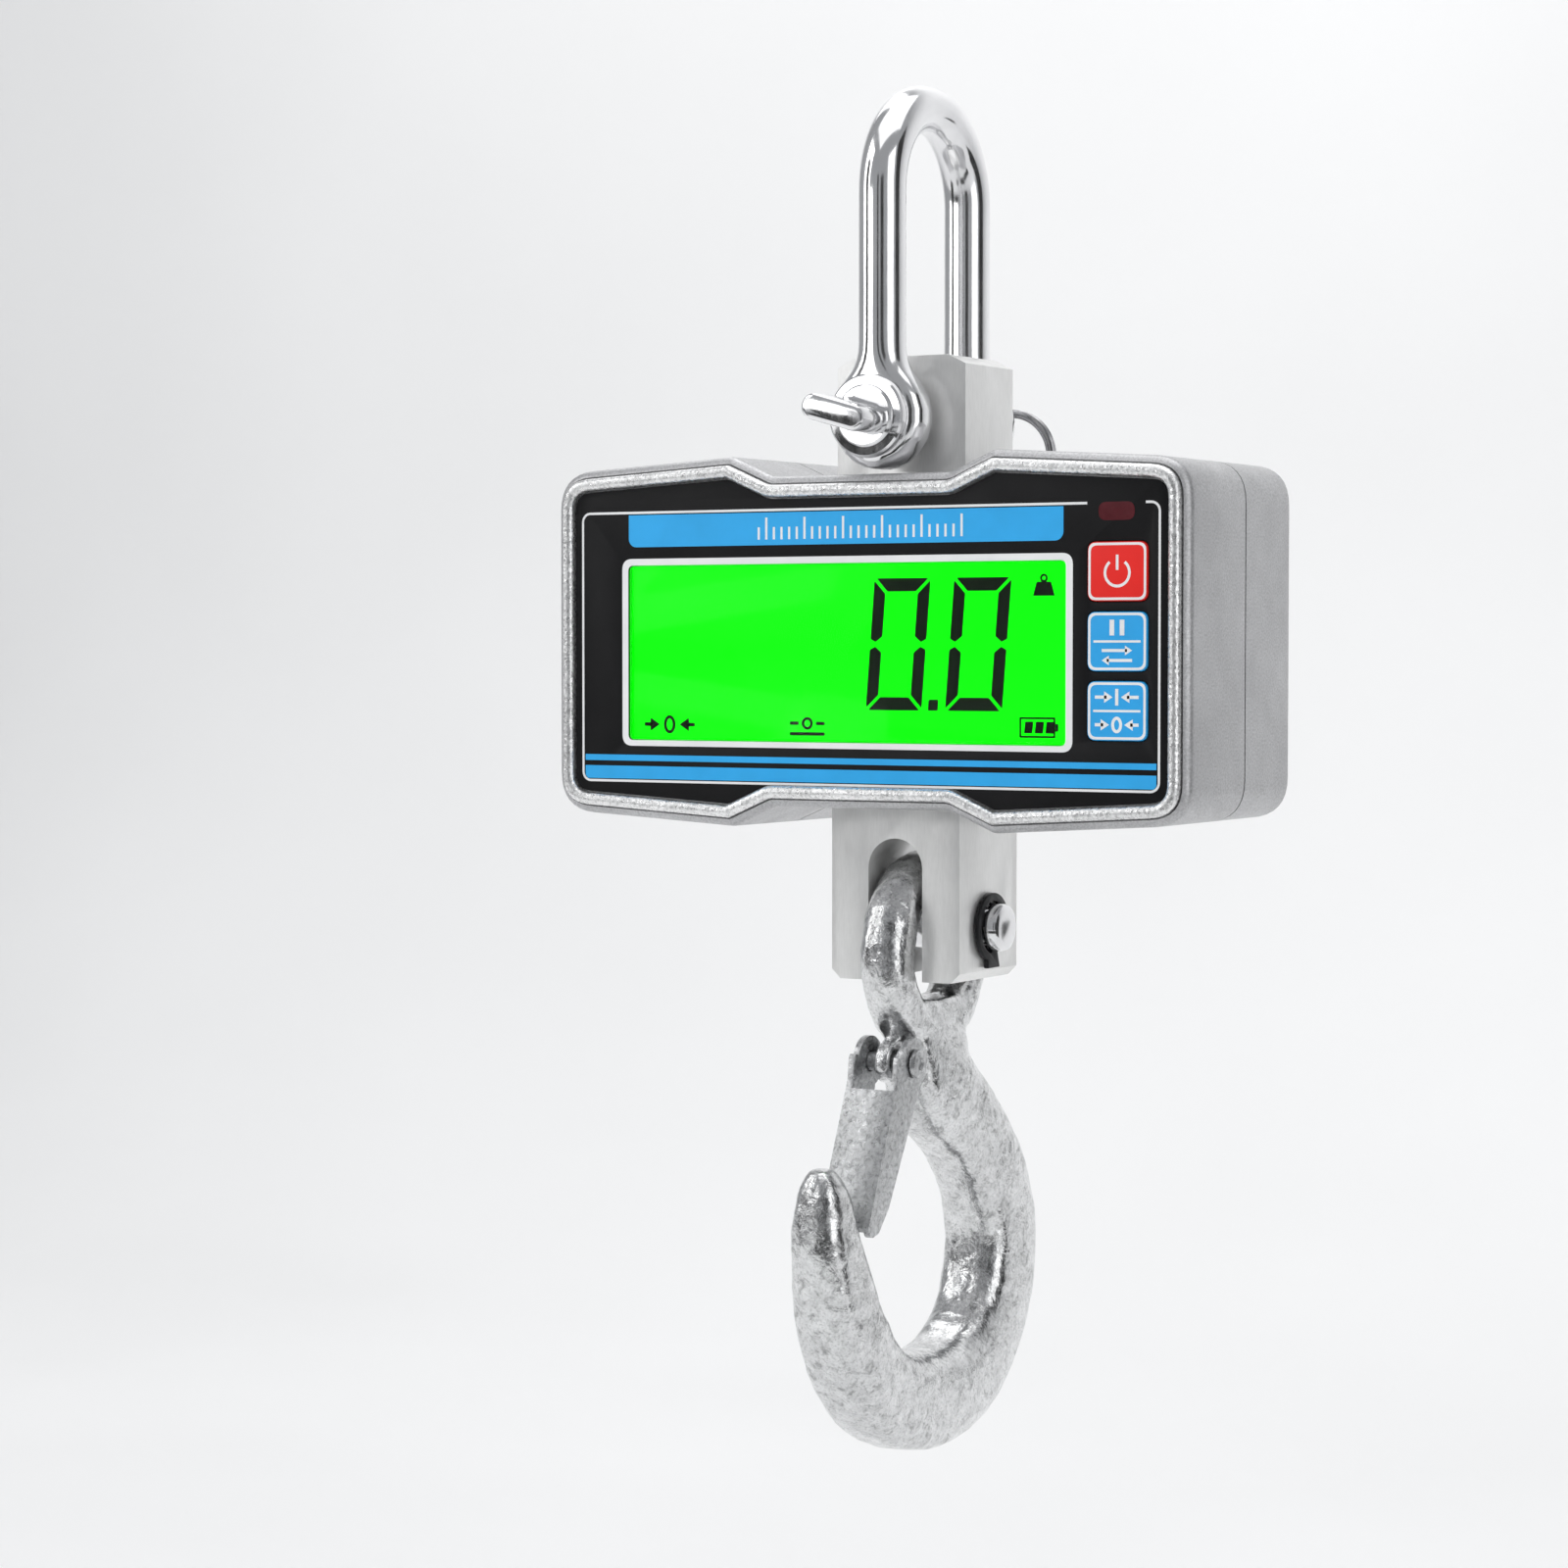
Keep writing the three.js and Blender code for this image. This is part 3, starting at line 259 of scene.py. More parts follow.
def pillow(name, outlines):
    """A solid through outlines in x and z, of equally many points, at stated y: [(outline, y), ...]."""
    return skin(name, [[(x, y, z) for x, z in outline] for outline, y in outlines])


# ---- Materials ----

class Finish:
    """Builds one procedural material, in coordinates of the object in millimetres."""

    def __init__(self, name, metallic=0.0, coat=0.0, coat_roughness=0.1, ior=1.45):
        self.material = bpy.data.materials.new(name)
        self.material.use_nodes = True
        self.tree = self.material.node_tree
        self.shader = self.tree.nodes["Principled BSDF"]
        values = {"Metallic": metallic, "Coat Weight": coat, "Coat Roughness": coat_roughness, "IOR": ior}
        for key, value in values.items():
            self.shader.inputs[key].default_value = value

    def node(self, kind, **settings):
        node = self.tree.nodes.new("ShaderNode" + kind)
        for key, value in settings.items():
            setattr(node, key, value)
        return node

    def link(self, out, into):
        self.tree.links.new(out, into)

    def coordinates(self, size, stretch=(1, 1, 1)):
        """Object coordinates in units of size millimetres."""
        source = self.node("TexCoord").outputs["Object"]
        mapping = self.node("Mapping")
        mapping.inputs["Scale"].default_value = [s / (size * MM) for s in stretch]
        self.link(source, mapping.inputs["Vector"])
        return mapping.outputs["Vector"]

    def noise(self, size, detail=3, rough=0.5, stretch=(1, 1, 1), distort=0.0):
        texture = self.node("TexNoise")
        texture.inputs["Scale"].default_value = 1
        texture.inputs["Detail"].default_value = detail
        texture.inputs["Roughness"].default_value = rough
        texture.inputs["Distortion"].default_value = distort
        self.link(self.coordinates(size, stretch), texture.inputs["Vector"])
        return texture.outputs["Fac"]

    def cells(self, size, feature="F1", output="Distance"):
        texture = self.node("TexVoronoi")
        texture.feature = feature
        texture.inputs["Scale"].default_value = 1
        self.link(self.coordinates(size), texture.inputs["Vector"])
        return texture.outputs[output]

    def ramp(self, value, stops):
        ramp = self.node("ValToRGB")
        elements = ramp.color_ramp.elements
        while len(elements) < len(stops):
            elements.new(0.5)
        for element, (position, color) in zip(elements, stops):
            element.position = position
            element.color = (*color, 1) if isinstance(color, tuple) else (color, color, color, 1)
        self.link(value, ramp.inputs["Fac"])
        return ramp.outputs["Color"]

    def map(self, value, low, high, start=0.3, end=0.7):
        node = self.node("MapRange")
        for index, number in enumerate((start, end, low, high), 1):
            node.inputs[index].default_value = number
        self.link(value, node.inputs[0])
        return node.outputs[0]

    def mix(self, a, b, fac=0.5, mode="MULTIPLY"):
        node = self.node("Mix", data_type="RGBA", blend_type=mode)
        for socket, value in ((node.inputs[0], fac), (node.inputs[6], a), (node.inputs[7], b)):
            if hasattr(value, "is_output"):
                self.link(value, socket)
            else:
                socket.default_value = value if socket.type == "VALUE" else (*value, 1)
        return node.outputs[2]

    def done(self, tone, gloss, low, high, *reliefs):
        """Links the colour, the roughness from low to high, and each relief as (height, depth in mm)."""
        self.link(tone, self.shader.inputs["Base Color"])
        self.link(self.map(gloss, low, high), self.shader.inputs["Roughness"])
        normal = None
        for height, depth in reliefs:
            node = self.node("Bump")
            node.inputs["Distance"].default_value = depth * MM
            self.link(height, node.inputs["Height"])
            if normal:
                self.link(normal, node.inputs["Normal"])
            normal = node.outputs["Normal"]
            self.link(normal, self.shader.inputs["Normal"])
        return self.material


def tint(color, factor):
    return tuple(min(c * factor, 1) for c in color)


def plain(name, color, metallic, rough, grain=0.5, depth=0.01, vary=0.08, patch=14, **more):
    """A surface with soft patches of tone, a fine grain in relief and uneven gloss."""
    f = Finish(name, metallic, **more)
    patches = f.ramp(f.noise(patch, 4, 0.6), [(0.3, tint(color, 1 - vary)), (0.7, tint(color, 1 + vary))])
    speckle = f.ramp(f.noise(grain * 1.6, 2, 0.5), [(0.3, 1 - vary * 0.7), (0.7, 1.0)])
    tone = f.mix(patches, speckle, 1.0)
    return f.done(tone, f.noise(patch * 0.4, 4, 0.6), *rough, (f.noise(grain, 3, 0.6), depth))


def polished_steel():
    f = Finish("polished_steel", 1.0)
    tone = f.ramp(f.noise(18, 4), [(0.3, (0.80, 0.80, 0.81)), (0.7, (0.92, 0.92, 0.93))])
    smears = f.noise(7, 5, 0.65, (1, 1, 0.3), 0.6)
    scratches = f.noise(0.5, 2, 0.5, (1, 1, 0.05))
    return f.done(tone, smears, 0.06, 0.2, (f.noise(9, 2, 0.4), 0.05), (scratches, 0.0015))


def hammered_silver():
    f = Finish("hammered_silver", 0.9)
    speckle = f.ramp(f.noise(0.7, 3, 0.65), [(0.36, 0.68), (0.54, 1.0)])
    tone = f.mix(f.ramp(f.noise(10, 4), [(0.3, 0.84), (0.7, 0.98)]), speckle, 1.0)
    return f.done(tone, f.noise(1.2, 3), 0.2, 0.42, (f.cells(0.9), 0.09), (f.noise(0.5, 3, 0.6), 0.08))


def silver_paint():
    f = Finish("silver_paint", 0.7)
    speckle = f.ramp(f.noise(0.5, 3, 0.6), [(0.34, 0.72), (0.62, 1.0)])
    patches = f.ramp(f.noise(24, 4), [(0.3, (0.53, 0.53, 0.54)), (0.7, (0.62, 0.62, 0.63))])
    return f.done(f.mix(patches, speckle, 1.0), f.noise(5, 4), 0.34, 0.48,
                  (f.noise(0.55, 3, 0.6), 0.035), (f.noise(7, 2), 0.03))


def galvanised():
    f = Finish("galvanised_forging", 1.0)
    crystals = f.ramp(f.cells(2.6, output="Color"), [(0.2, 0.70), (0.8, 1.0)])
    pits = f.ramp(f.noise(2.6, 6, 0.75, distort=0.6), [(0.36, 0.30), (0.46, 0.82), (0.62, 1.0)])
    flecks = f.ramp(f.noise(0.6, 4, 0.7), [(0.36, 0.35), (0.5, 1.0)])
    base = f.mix((0.88, 0.885, 0.89), crystals, 0.4)
    tone = f.mix(f.mix(base, pits, 0.7), flecks, 0.45)
    return f.done(tone, f.noise(1.8, 5, 0.7), 0.08, 0.32, (f.noise(11, 3, 0.5), 0.8),
                  (f.noise(3.4, 5, 0.55, distort=0.5), 0.36), (f.noise(0.9, 2, 0.5), 0.035))


def satin_aluminium():
    f = Finish("satin_aluminium", 0.7)
    patches = f.ramp(f.noise(16, 4), [(0.3, (0.84, 0.84, 0.83)), (0.7, (0.91, 0.91, 0.90))])
    brushed = f.ramp(f.noise(0.4, 2, stretch=(1, 1, 0.15)), [(0.3, 0.94), (0.7, 1.0)])
    return f.done(f.mix(patches, brushed, 1.0), f.noise(4, 4, stretch=(1, 1, 0.4)), 0.3, 0.46,
                  (f.noise(0.32, 2, 0.5, (1, 1, 0.06)), 0.006), (f.noise(0.3, 3), 0.008))


def zinc_sheet():
    f = Finish("zinc_sheet", 0.9)
    blotches = f.ramp(f.noise(1.3, 6, 0.72, distort=0.5), [(0.32, 0.26), (0.5, 0.56), (0.72, 0.76)])
    return f.done(f.mix(blotches, (0.93, 0.94, 0.95), 1.0), f.noise(1.5, 5, 0.7), 0.2, 0.42,
                  (f.noise(1.4, 4, 0.6), 0.05), (f.noise(0.35, 2, 0.5, (1, 0.1, 0.1)), 0.008))


def ink(name, color, gloss=(0.28, 0.4), glow=0.0):
    f = Finish(name, 0.0, ior=1.3)
    if glow:
        f.shader.inputs["Emission Color"].default_value = (*color, 1)
        f.shader.inputs["Emission Strength"].default_value = glow
    tone = f.ramp(f.noise(9, 3), [(0.3, tint(color, 0.95)), (0.7, tint(color, 1.04))])
    return f.done(tone, f.noise(3, 3), *gloss, (f.noise(0.25, 2), 0.003))


def clear_window():
    f = Finish("clear_window", 0.0, ior=1.12)
    f.shader.inputs["Transmission Weight"].default_value = 1.0
    tone = f.ramp(f.noise(20, 2), [(0.3, (0.97, 1.0, 0.97)), (0.7, (1.0, 1.0, 1.0))])
    return f.done(tone, f.noise(15, 3), 0.0, 0.012, (f.noise(30, 1), 0.004))


def board_mask():
    f = Finish("solder_mask", 0.0, coat=0.3, coat_roughness=0.2)
    edges = f.cells(3.2, "DISTANCE_TO_EDGE")
    tracks = f.ramp(edges, [(0.03, (0.02, 0.20, 0.08)), (0.07, (0.006, 0.10, 0.035))])
    tone = f.mix(tracks, f.ramp(f.noise(8, 3), [(0.3, 0.85), (0.7, 1.0)]), 1.0)
    return f.done(tone, f.noise(4, 3), 0.3, 0.45, (edges, 0.02))


STEEL = polished_steel()
BEAD = hammered_silver()
PAINT = silver_paint()
FORGED = galvanised()
BLOCK = satin_aluminium()
ZINC = zinc_sheet()
BLACK_OXIDE = plain("black_oxide", (0.025, 0.025, 0.027), 0.7, (0.3, 0.5), 0.4, 0.01, 0.2, 5)
SCREW = plain("screw_steel", (0.62, 0.63, 0.64), 1.0, (0.2, 0.38), 0.4, 0.01, 0.1, 4)
RING_STEEL = plain("ring_steel", (0.36, 0.36, 0.37), 1.0, (0.1, 0.24), 0.5, 0.006, 0.15, 6)
RUBBER = plain("black_rubber", (0.022, 0.022, 0.022), 0.0, (0.6, 0.85), 0.5, 0.02, 0.2, 8)
FILM = plain("panel_film", (0.010, 0.010, 0.011), 0.0, (0.34, 0.46), 0.3, 0.006, 0.15, 20, ior=1.25)
WHITE_INK = ink("white_print", (0.95, 0.96, 0.97))
BLUE_INK = ink("blue_print", (0.04, 0.46, 0.95))
RED_INK = ink("red_key_print", (0.93, 0.03, 0.025))
BLUE_KEY = ink("blue_key_print", (0.04, 0.44, 0.93))
LCD_GREEN = ink("display_green", (0.0, 1.0, 0.0), (0.4, 0.5), glow=1.0)
LCD_BLACK = ink("display_segment", (0.002, 0.012, 0.002), (0.4, 0.5))
WINDOW = clear_window()
SMOKED = plain("smoked_lens", (0.10, 0.012, 0.018), 0.0, (0.08, 0.14), 0.5, 0.002, 0.1, 6, coat=0.5)
WHITE_PLASTIC = plain("white_plastic", (0.82, 0.84, 0.80), 0.0, (0.4, 0.55), 0.4, 0.008, 0.04, 10)
BLACK_PLASTIC = plain("black_plastic", (0.03, 0.03, 0.032), 0.0, (0.4, 0.6), 0.45, 0.02, 0.2, 8)
SLEEVE = plain("cell_sleeve", (0.05, 0.08, 0.14), 0.1, (0.25, 0.4), 0.6, 0.008, 0.15, 9, coat=0.4)
CABLE = plain("cable_jacket", (0.12, 0.125, 0.13), 0.0, (0.5, 0.7), 0.4, 0.015, 0.15, 5)
BOARD = board_mask()


def put(obj, material, body, slot, *replaced):
    obj.data.materials.clear()
    obj.data.materials.append(material)
    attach(obj, body)
    if replaced:
        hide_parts(*replaced)


# ---- Shackle, its pin and the split ring ----

RING_Y = joint_place("ring_swing")[1]


def build_shackle():
    bar_r, leg_y = 5.4, 21.0
    crown_z = bar_r - leg_y
    rings = []

    # Down each leg the round bar widens into the flat eye. Each station: height above the pin's axis,
    # half width across the loop, half thickness, and how square the section is.
    stations = [
        (-11.75, 1.2, 3.4, 2.4), (-11.3, 3.4, 4.4, 2.6), (-10.2, 6.0, 5.0, 2.8), (-8.2, 8.5, 5.3, 3.0),
        (-5, 10.7, 5.4, 3.2), (-1.5, 11.7, 5.4, 3.2), (1.5, 11.7, 5.4, 3.2), (4.5, 10.9, 5.4, 3.2),
        (6.5, 9.9, 5.4, 3.1), (8.3, 8.7, 5.4, 2.9), (9.8, 7.5, 5.4, 2.6), (11.2, 6.6, 5.4, 2.4),
        (12.8, 5.95, 5.4, 2.2), (14.6, 5.55, 5.4, 2.05), (16.8, 5.42, 5.4, 2), (20, 5.4, 5.4, 2),
        (26, 5.4, 5.4, 2), (34, 5.4, 5.4, 2), (42, 5.4, 5.4, 2)]
    for h, a, b, power in stations:
        rings.append(oval((0, -leg_y, PIN_Z + h), (1, 0, 0), (0, 1, 0), a, b, 40, power))
    steps = 40
    for i in range(steps + 1):
        t = PI - PI * i / steps
        out = Vector((0, math.cos(t), math.sin(t)))
        rings.append(oval(Vector((0, 0, crown_z)) + out * leg_y, (1, 0, 0), -out, bar_r, bar_r, 40))
    for h, a, b, power in reversed(stations):
        rings.append(oval((0, leg_y, PIN_Z + h), (1, 0, 0), (0, -1, 0), a, b, 40, power))
    bow = skin("shackle_bow_steel", rings, angle=45)
    cut(bow, rod("y", PIN_BORE, -40, 40, (0, 0, PIN_Z), 64))
    put(bow, STEEL, "shackle", "polished_steel", "shackle_bow")


def build_pin():
    low, high = node_box("shackle_pin")
    face = -26.7
    tail = high[1]
    steps = [(0, -3.4), (6.6, -3.4), (7.0, -3.1), (7.1, -2.5), (8.9, -2.4), (9.4, -2.0),
             (9.5, -1.5), (9.5, -0.5), (9.2, -0.1), (8.8, 0), (5.5, 0)]
    profile = [(r, face + y) for r, y in steps]
    profile += [(5.5, 27.0), (5.3, 27.2), (4.6, 28.2)]
    profile += [(4.6, tail - 0.9), (4.2, tail - 0.3), (3.6, tail), (0, tail)]
    shank = lathe("shackle_pin_shank", profile, "y", (0, 0, PIN_Z), 64, 30)
    tilt = math.radians(15.5)
    u, v = Vector((math.cos(tilt), 0, -math.sin(tilt))), Vector((math.sin(tilt), 0, math.cos(tilt)))
    # Stations out along the paddle: y, half width, half thickness.
    front = low[1]
    neck = [(2.6, 6.9, 4.4), (3.6, 6.4, 3.6), (4.8, 6.3, 3.1), (6.5, 6.6, 3.0), (9, 7.3, 3.0),
            (11.5, 7.9, 3.0), (14, 8.2, 3.0)]
    tip = [(1.2, 8.2, 3.0), (0.45, 8.0, 2.8), (0.1, 7.6, 2.4), (0, 7.1, 1.9)]
    stations = [(face - y, a, b) for y, a, b in neck] + [(front + y, a, b) for y, a, b in tip]
    rings = []
    for y, a, b in stations:
        ring = []
        for s in range(48):
            t = 2 * PI * (s + 0.5) / 48
            c, d = math.cos(t), math.sin(t)
            p = u * ((a - b) * math.copysign(1, c) + b * c) + v * (b * d)
            ring.append(Vector((0, y, PIN_Z)) + p)
        rings.append(ring)
    paddle = skin("shackle_pin_paddle", rings, angle=40)
    pin = merge("shackle_pin_steel", [shank, paddle], 35)
    lean = PI / 4
    ends = [(side * 8 * math.cos(lean), RING_Y, PIN_Z + side * 8 * math.sin(lean)) for side in (-1, 1)]
    cut(pin, bar("hole", ends, 1.9, 24, up=(0, 1, 0)))
    put(pin, STEEL, "shackle", "polished_steel", "shackle_pin")


def build_split_ring():
    """Two turns of wire pressed together, joined by a short step on the far side from the pin."""
    thick, wide, radius, drop, turns, steps = 0.54, 1.05, 10.4, 9.9, 2, 160
    lean = PI / 4
    away = Vector((math.sin(lean), 0, -math.cos(lean)))
    side = Vector((math.cos(lean), 0, math.sin(lean)))
    centre = Vector((0, RING_Y, PIN_Z)) + away * drop
    points = []
    for i in range(steps + 1):
        turn = turns * i / steps
        angle = PI * 0.9 + 2 * PI * turn
        step = (min(max((turn - 0.93) / 0.14, 0), 1) - 0.5) * 2 * thick
        spot = centre + away * (radius * math.cos(angle)) + side * (radius * math.sin(angle))
        points.append(spot + Vector((0, step, 0)))
    ring = bar("split_ring_wire", points, wide, 16, up=(0, 1, 0), flat=thick / wide)
    put(ring, RING_STEEL, "locking_ring", "screw_steel", "split_ring")


# ---- Load column ----

PIN_BORE, STUD_BORE = 5.8, 5.1


def build_column():
    low, high = node_box("upper_lug")
    w, top = high[0], high[2]
    outline = [(-w, low[2]), (w, low[2]), (w, top - 2.2), (w - 4.5, top), (4.5 - w, top), (-w, top - 2.2)]
    lug = slab("upper_lug_block", outline, low[1], high[1])
    cut(lug, rod("y", PIN_BORE, -20, 20, (0, 0, PIN_Z), 64), rod("z", STUD_BORE, low[2] - 1, low[2] + 9.3))
    bevel(lug, 0.55, 3)
    put(lug, BLOCK, "scale_body", "machined_aluminium", "upper_lug")

    low, high = node_box("lower_clevis")
    w, depth = high[0], high[1]
    slot_w, arch_z = 7.0, CLEVIS_Z + 20.7 - 7.0
    foot = low[2]
    outline = [(-w, foot + 2.2), (-w + 2.2, foot), (-slot_w, foot)]
    outline += arc((0, arch_z), slot_w, 180, 0, 28)
    outline += [(slot_w, foot), (w - 2.2, foot), (w, foot + 2.2), (w, high[2]), (-w, high[2])]
    clevis = slab("lower_clevis_block", outline, low[1], depth)
    pin_hole = rod("x", PIN_BORE, -30, 30, (0, 0, CLEVIS_Z), 64)
    cut(clevis, pin_hole, rod("z", STUD_BORE, high[2] - 9.3, high[2] + 1))
    bevel(clevis, 0.6, 3)
    put(clevis, BLOCK, "scale_body", "machined_aluminium", "lower_clevis")

    low, high = node_box("clevis_pin")
    end, groove = high[0], 4.0
    half = [(5.5, 16.6), (groove, 16.6), (groove, 18.4), (5.5, 18.4), (5.5, end - 1.1), (5.2, end - 0.5),
            (4.6, end - 0.15), (3.9, end), (0, end)]
    profile = [(r, -x) for r, x in reversed(half)] + half
    pin = lathe("clevis_pin_steel", profile, "x", (0, 0, CLEVIS_Z), 64, 30)
    put(pin, STEEL, "scale_body", "polished_steel", "clevis_pin")

    for name in ("e_clip_right", "e_clip_left"):
        low, high = node_box(name)
        clip = slab(name + "_spring", clip_outline(), low[0], high[0], "x")
        bevel(clip, 0.2, 2)
        put(clip, BLACK_OXIDE, "scale_body", "black_steel", name)


def clip_outline():
    """An E clip open towards the rear and a little down: a bow, three lugs on the groove, and a foot."""
    outer, inner, groove, foot = 7.95, 6.1, 4.25, 9.35
    first, last, steps = math.radians(32), math.radians(288), 72
    foot_start, lug_half = math.radians(252), 0.2
    lugs = [first + lug_half, (first + last) / 2, last - lug_half]
    angles = [first + (last - first) * i / steps for i in range(steps + 1)]
    points = []
    for t in angles:
        r = outer if t < foot_start else foot / math.cos(t - 1.5 * PI)
        points.append((r * math.cos(t), CLEVIS_Z + r * math.sin(t)))
    for t in reversed(angles):
        near = min(abs(t - lug) for lug in lugs)
        blend = min(max((near - lug_half) / 0.14, 0), 1)
        r = groove + (inner - groove) * blend * blend * (3 - 2 * blend)
        points.append((r * math.cos(t), CLEVIS_Z + r * math.sin(t)))
    return points


# ---- Hook ----

# The hook's centre line from the neck round to the tip, from the clevis pin's axis: y, z, half depth
# in the plane of the hook, half thickness across it.
HOOK_SECTIONS = [
    (0, -17, 15, 5.6), (0, -22.5, 13.6, 6.2), (0.5, -29, 12.4, 7.6), (3, -37, 12, 8.2), (10, -43, 11.6, 8.4),
    (18, -49, 11.2, 8.6), (30, -62.6, 11.5, 9), (34.4, -78.6, 12, 9.5), (29, -96.6, 12, 9.5),
    (13, -108.6, 11.6, 10), (-8, -110.6, 11.5, 10), (-27, -104.2, 10.5, 9.5), (-40, -88.6, 9.5, 9),
    (-46, -72.6, 8, 7.6), (-48.3, -60, 6.2, 6.2), (-48.9, -54.5, 4.6, 4.6), (-49.1, -51.5, 2.4, 2.4)]


def spline(values, t):
    """Catmull-Rom through equally spaced rows of numbers, at t from 0 to 1."""
    count = len(values) - 1
    x = min(max(t, 0), 1) * count
    i = min(int(x), count - 1)
    f = x - i
    p0, p1, p2, p3 = (values[min(max(i + k, 0), count)] for k in (-1, 0, 1, 2))
    out = []
    for a, b, c, d in zip(p0, p1, p2, p3):
        square, cube = 2 * a - 5 * b + 4 * c - d, 3 * b - a - 3 * c + d
        out.append(0.5 * (2 * b + (c - a) * f + square * f * f + cube * f ** 3))
    return out


def build_hook():
    low, high = node_box("hook")
    steps, rings = 150, []
    for i in range(steps + 1):
        y, z, depth, thick = spline(HOOK_SECTIONS, i / steps)
        power = 3.1 - 0.9 * max(i / steps - 0.8, 0) / 0.2
        ya, za, *_ = spline(HOOK_SECTIONS, i / steps - 0.002)
        yb, zb, *_ = spline(HOOK_SECTIONS, i / steps + 0.002)
        along = Vector((0, yb - ya, zb - za)).normalized()
        outward = Vector((0, along.z, -along.y)) * -1
        ring = []
        for s in range(36):
            t = 2 * PI * s / 36
            c, d = squared(math.cos(t), power), squared(math.sin(t), power)
            ring.append(Vector((0, y, z + CLEVIS_Z)) + outward * (depth * c) + Vector((thick * d, 0, 0)))
        rings.append(ring)
    body = skin("hook_body", rings)
    inner, radial, half = 12.2, 12.0, 6.25
    eye_z = CLEVIS_Z + 5.8 - inner
    eye_rings = []
    for i in range(96):
        t = 2 * PI * i / 96
        out = Vector((0, math.cos(t), math.sin(t)))
        middle = Vector((0, 0, eye_z)) + out * (inner + radial / 2)
        eye_rings.append(oval(middle, out, (1, 0, 0), radial / 2, half, 28, 2.25))
    eye = skin("hook_eye", eye_rings, closed=True)
    lug_outline = [(1, LATCH_Z - 11), (-2, LATCH_Z + 9), (LATCH_Y + 2, LATCH_Z + 4.9)]
    lug_outline += [(LATCH_Y + 5.0 * math.cos(PI * a), LATCH_Z + 5.0 * math.sin(PI * a)) for a in
                    [0.4 + 1.2 * k / 14 for k in range(15)]]
    lug = slab("hook_lug", lug_outline, -2.1, 2.1, "x")
    hook = merge("hook_forging", [body, eye, lug])
    modify(hook, "REMESH", mode="VOXEL", voxel_size=0.85 * MM, use_smooth_shade=True)
    modify(hook, "SMOOTH", factor=0.5, iterations=6)
    bake(hook, 60)
    roughen(hook, 7, 0.32)
    roughen(hook, 2.6, 0.13)
    keep_inside(hook, low, high)
    put(hook, FORGED, "hook_body", "galvanised_steel", "hook")


def roughen(obj, size, depth):
    """Moves each point of the surface in or out by a smooth noise, both in millimetres."""
    normals = [vertex.normal.copy() for vertex in obj.data.vertices]
    for vertex, normal in zip(obj.data.vertices, normals):
        height = noise.noise(vertex.co / (size * MM))
        vertex.co = vertex.co + normal * (height * depth * MM)


def keep_inside(obj, low, high):
    """Fits the object's box to a stated box, each axis by its own small factor."""
    coords = [v.co.copy() for v in obj.data.vertices]
    for axis in range(3):
        a, b = min(c[axis] for c in coords), max(c[axis] for c in coords)
        scale = (high[axis] - low[axis]) * MM / (b - a)
        for v in obj.data.vertices:
            v.co[axis] = low[axis] * MM + (v.co[axis] - a) * scale


def build_latch():
    half, sheet, ear, pivot = 6.5, 1.5, 5.9, (0, LATCH_Y, LATCH_Z)
    cheek = [(-7.6, 3.4, 1.5), (-8.4, -3.6, 2), (-22.2, -35, 1.2), (-20.8, -37.4, 1.5), (-17.2, -36.6, 2),
             (-12.4, -31.4, 3), (2.6, -5.4, 2)]
    cheek = [(y + LATCH_Y, z + LATCH_Z) for y, z in round_corners(cheek, 4)]
    parts = []
    for side in (-1, 1):
        lo, hi = sorted((side * half, side * (half - sheet)))
        plate = slab("cheek", cheek, lo, hi, "x")
        unite(plate, rod("x", ear, lo, hi, pivot, 40))
        cut(plate, rod("x", 2.5, lo - 1, hi + 1, pivot, 32))
        parts.append(plate)
    # The web: a flat strip down the front edge of the cheeks, square-cut at the top.
    top, foot = Vector((-9.15, -5.3)), Vector((-22.2, -35))
    along = (foot - top).normalized()
    back = Vector((-along.y, along.x)) * sheet
    strip = [top, foot, foot + along * 0.6 + back * 0.6, foot + back, top + back]
    web = slab("web", [(p.x + LATCH_Y, p.y + LATCH_Z) for p in strip], -half, half, "x")
    latch = unite(*parts, web)
    latch.name = "latch_sheet"
    bevel(latch, 0.45, 3, 35)
    put(latch, ZINC, "safety_latch", "zinc_sheet", "latch")

    end = node_box("latch_rivet")[1][0]
    head = [(2.2, -1.7), (3.3, -1.2), (3.4, -0.8), (3.2, -0.3), (2.6, 0), (1.5, 0), (1.2, -0.5), (0, -0.6)]
    right = [(r, end + x) for r, x in head]
    left = [(r, -x) for r, x in reversed(right)]
    rivet = lathe("latch_rivet_head", left + right, "x", pivot, 40, 35)
    put(rivet, ZINC, "hook_body", "screw_steel", "latch_rivet")


def build_latch_spring():
    coil, wire, turns, shift, steps = 3.4, 0.34, 1.9, 1.65, 90
    start_x = 2.75
    points = []
    for i in range(steps + 1):
        t = 1.155 * PI + 2 * PI * turns * i / steps
        x = start_x + shift * i / steps
        points.append(Vector((x, LATCH_Y + coil * math.cos(t), LATCH_Z + coil * math.sin(t))))
    x = start_x + shift
    knots = [(x, -3.5, -0.6), (x, -3.7, -3), (x, -4.4, -7), (x, -7.4, -12.5), (x, -11.2, -18.6)]
    for i in range(1, 30):
        p = spline(knots, i / 29)
        points.append(Vector((p[0], p[1] + LATCH_Y, p[2] + LATCH_Z)))
    spring = bar("latch_spring_wire", points, wire, 12)
    put(spring, SCREW, "safety_latch", "screw_steel", "latch_spring")


# ---- Housing ----

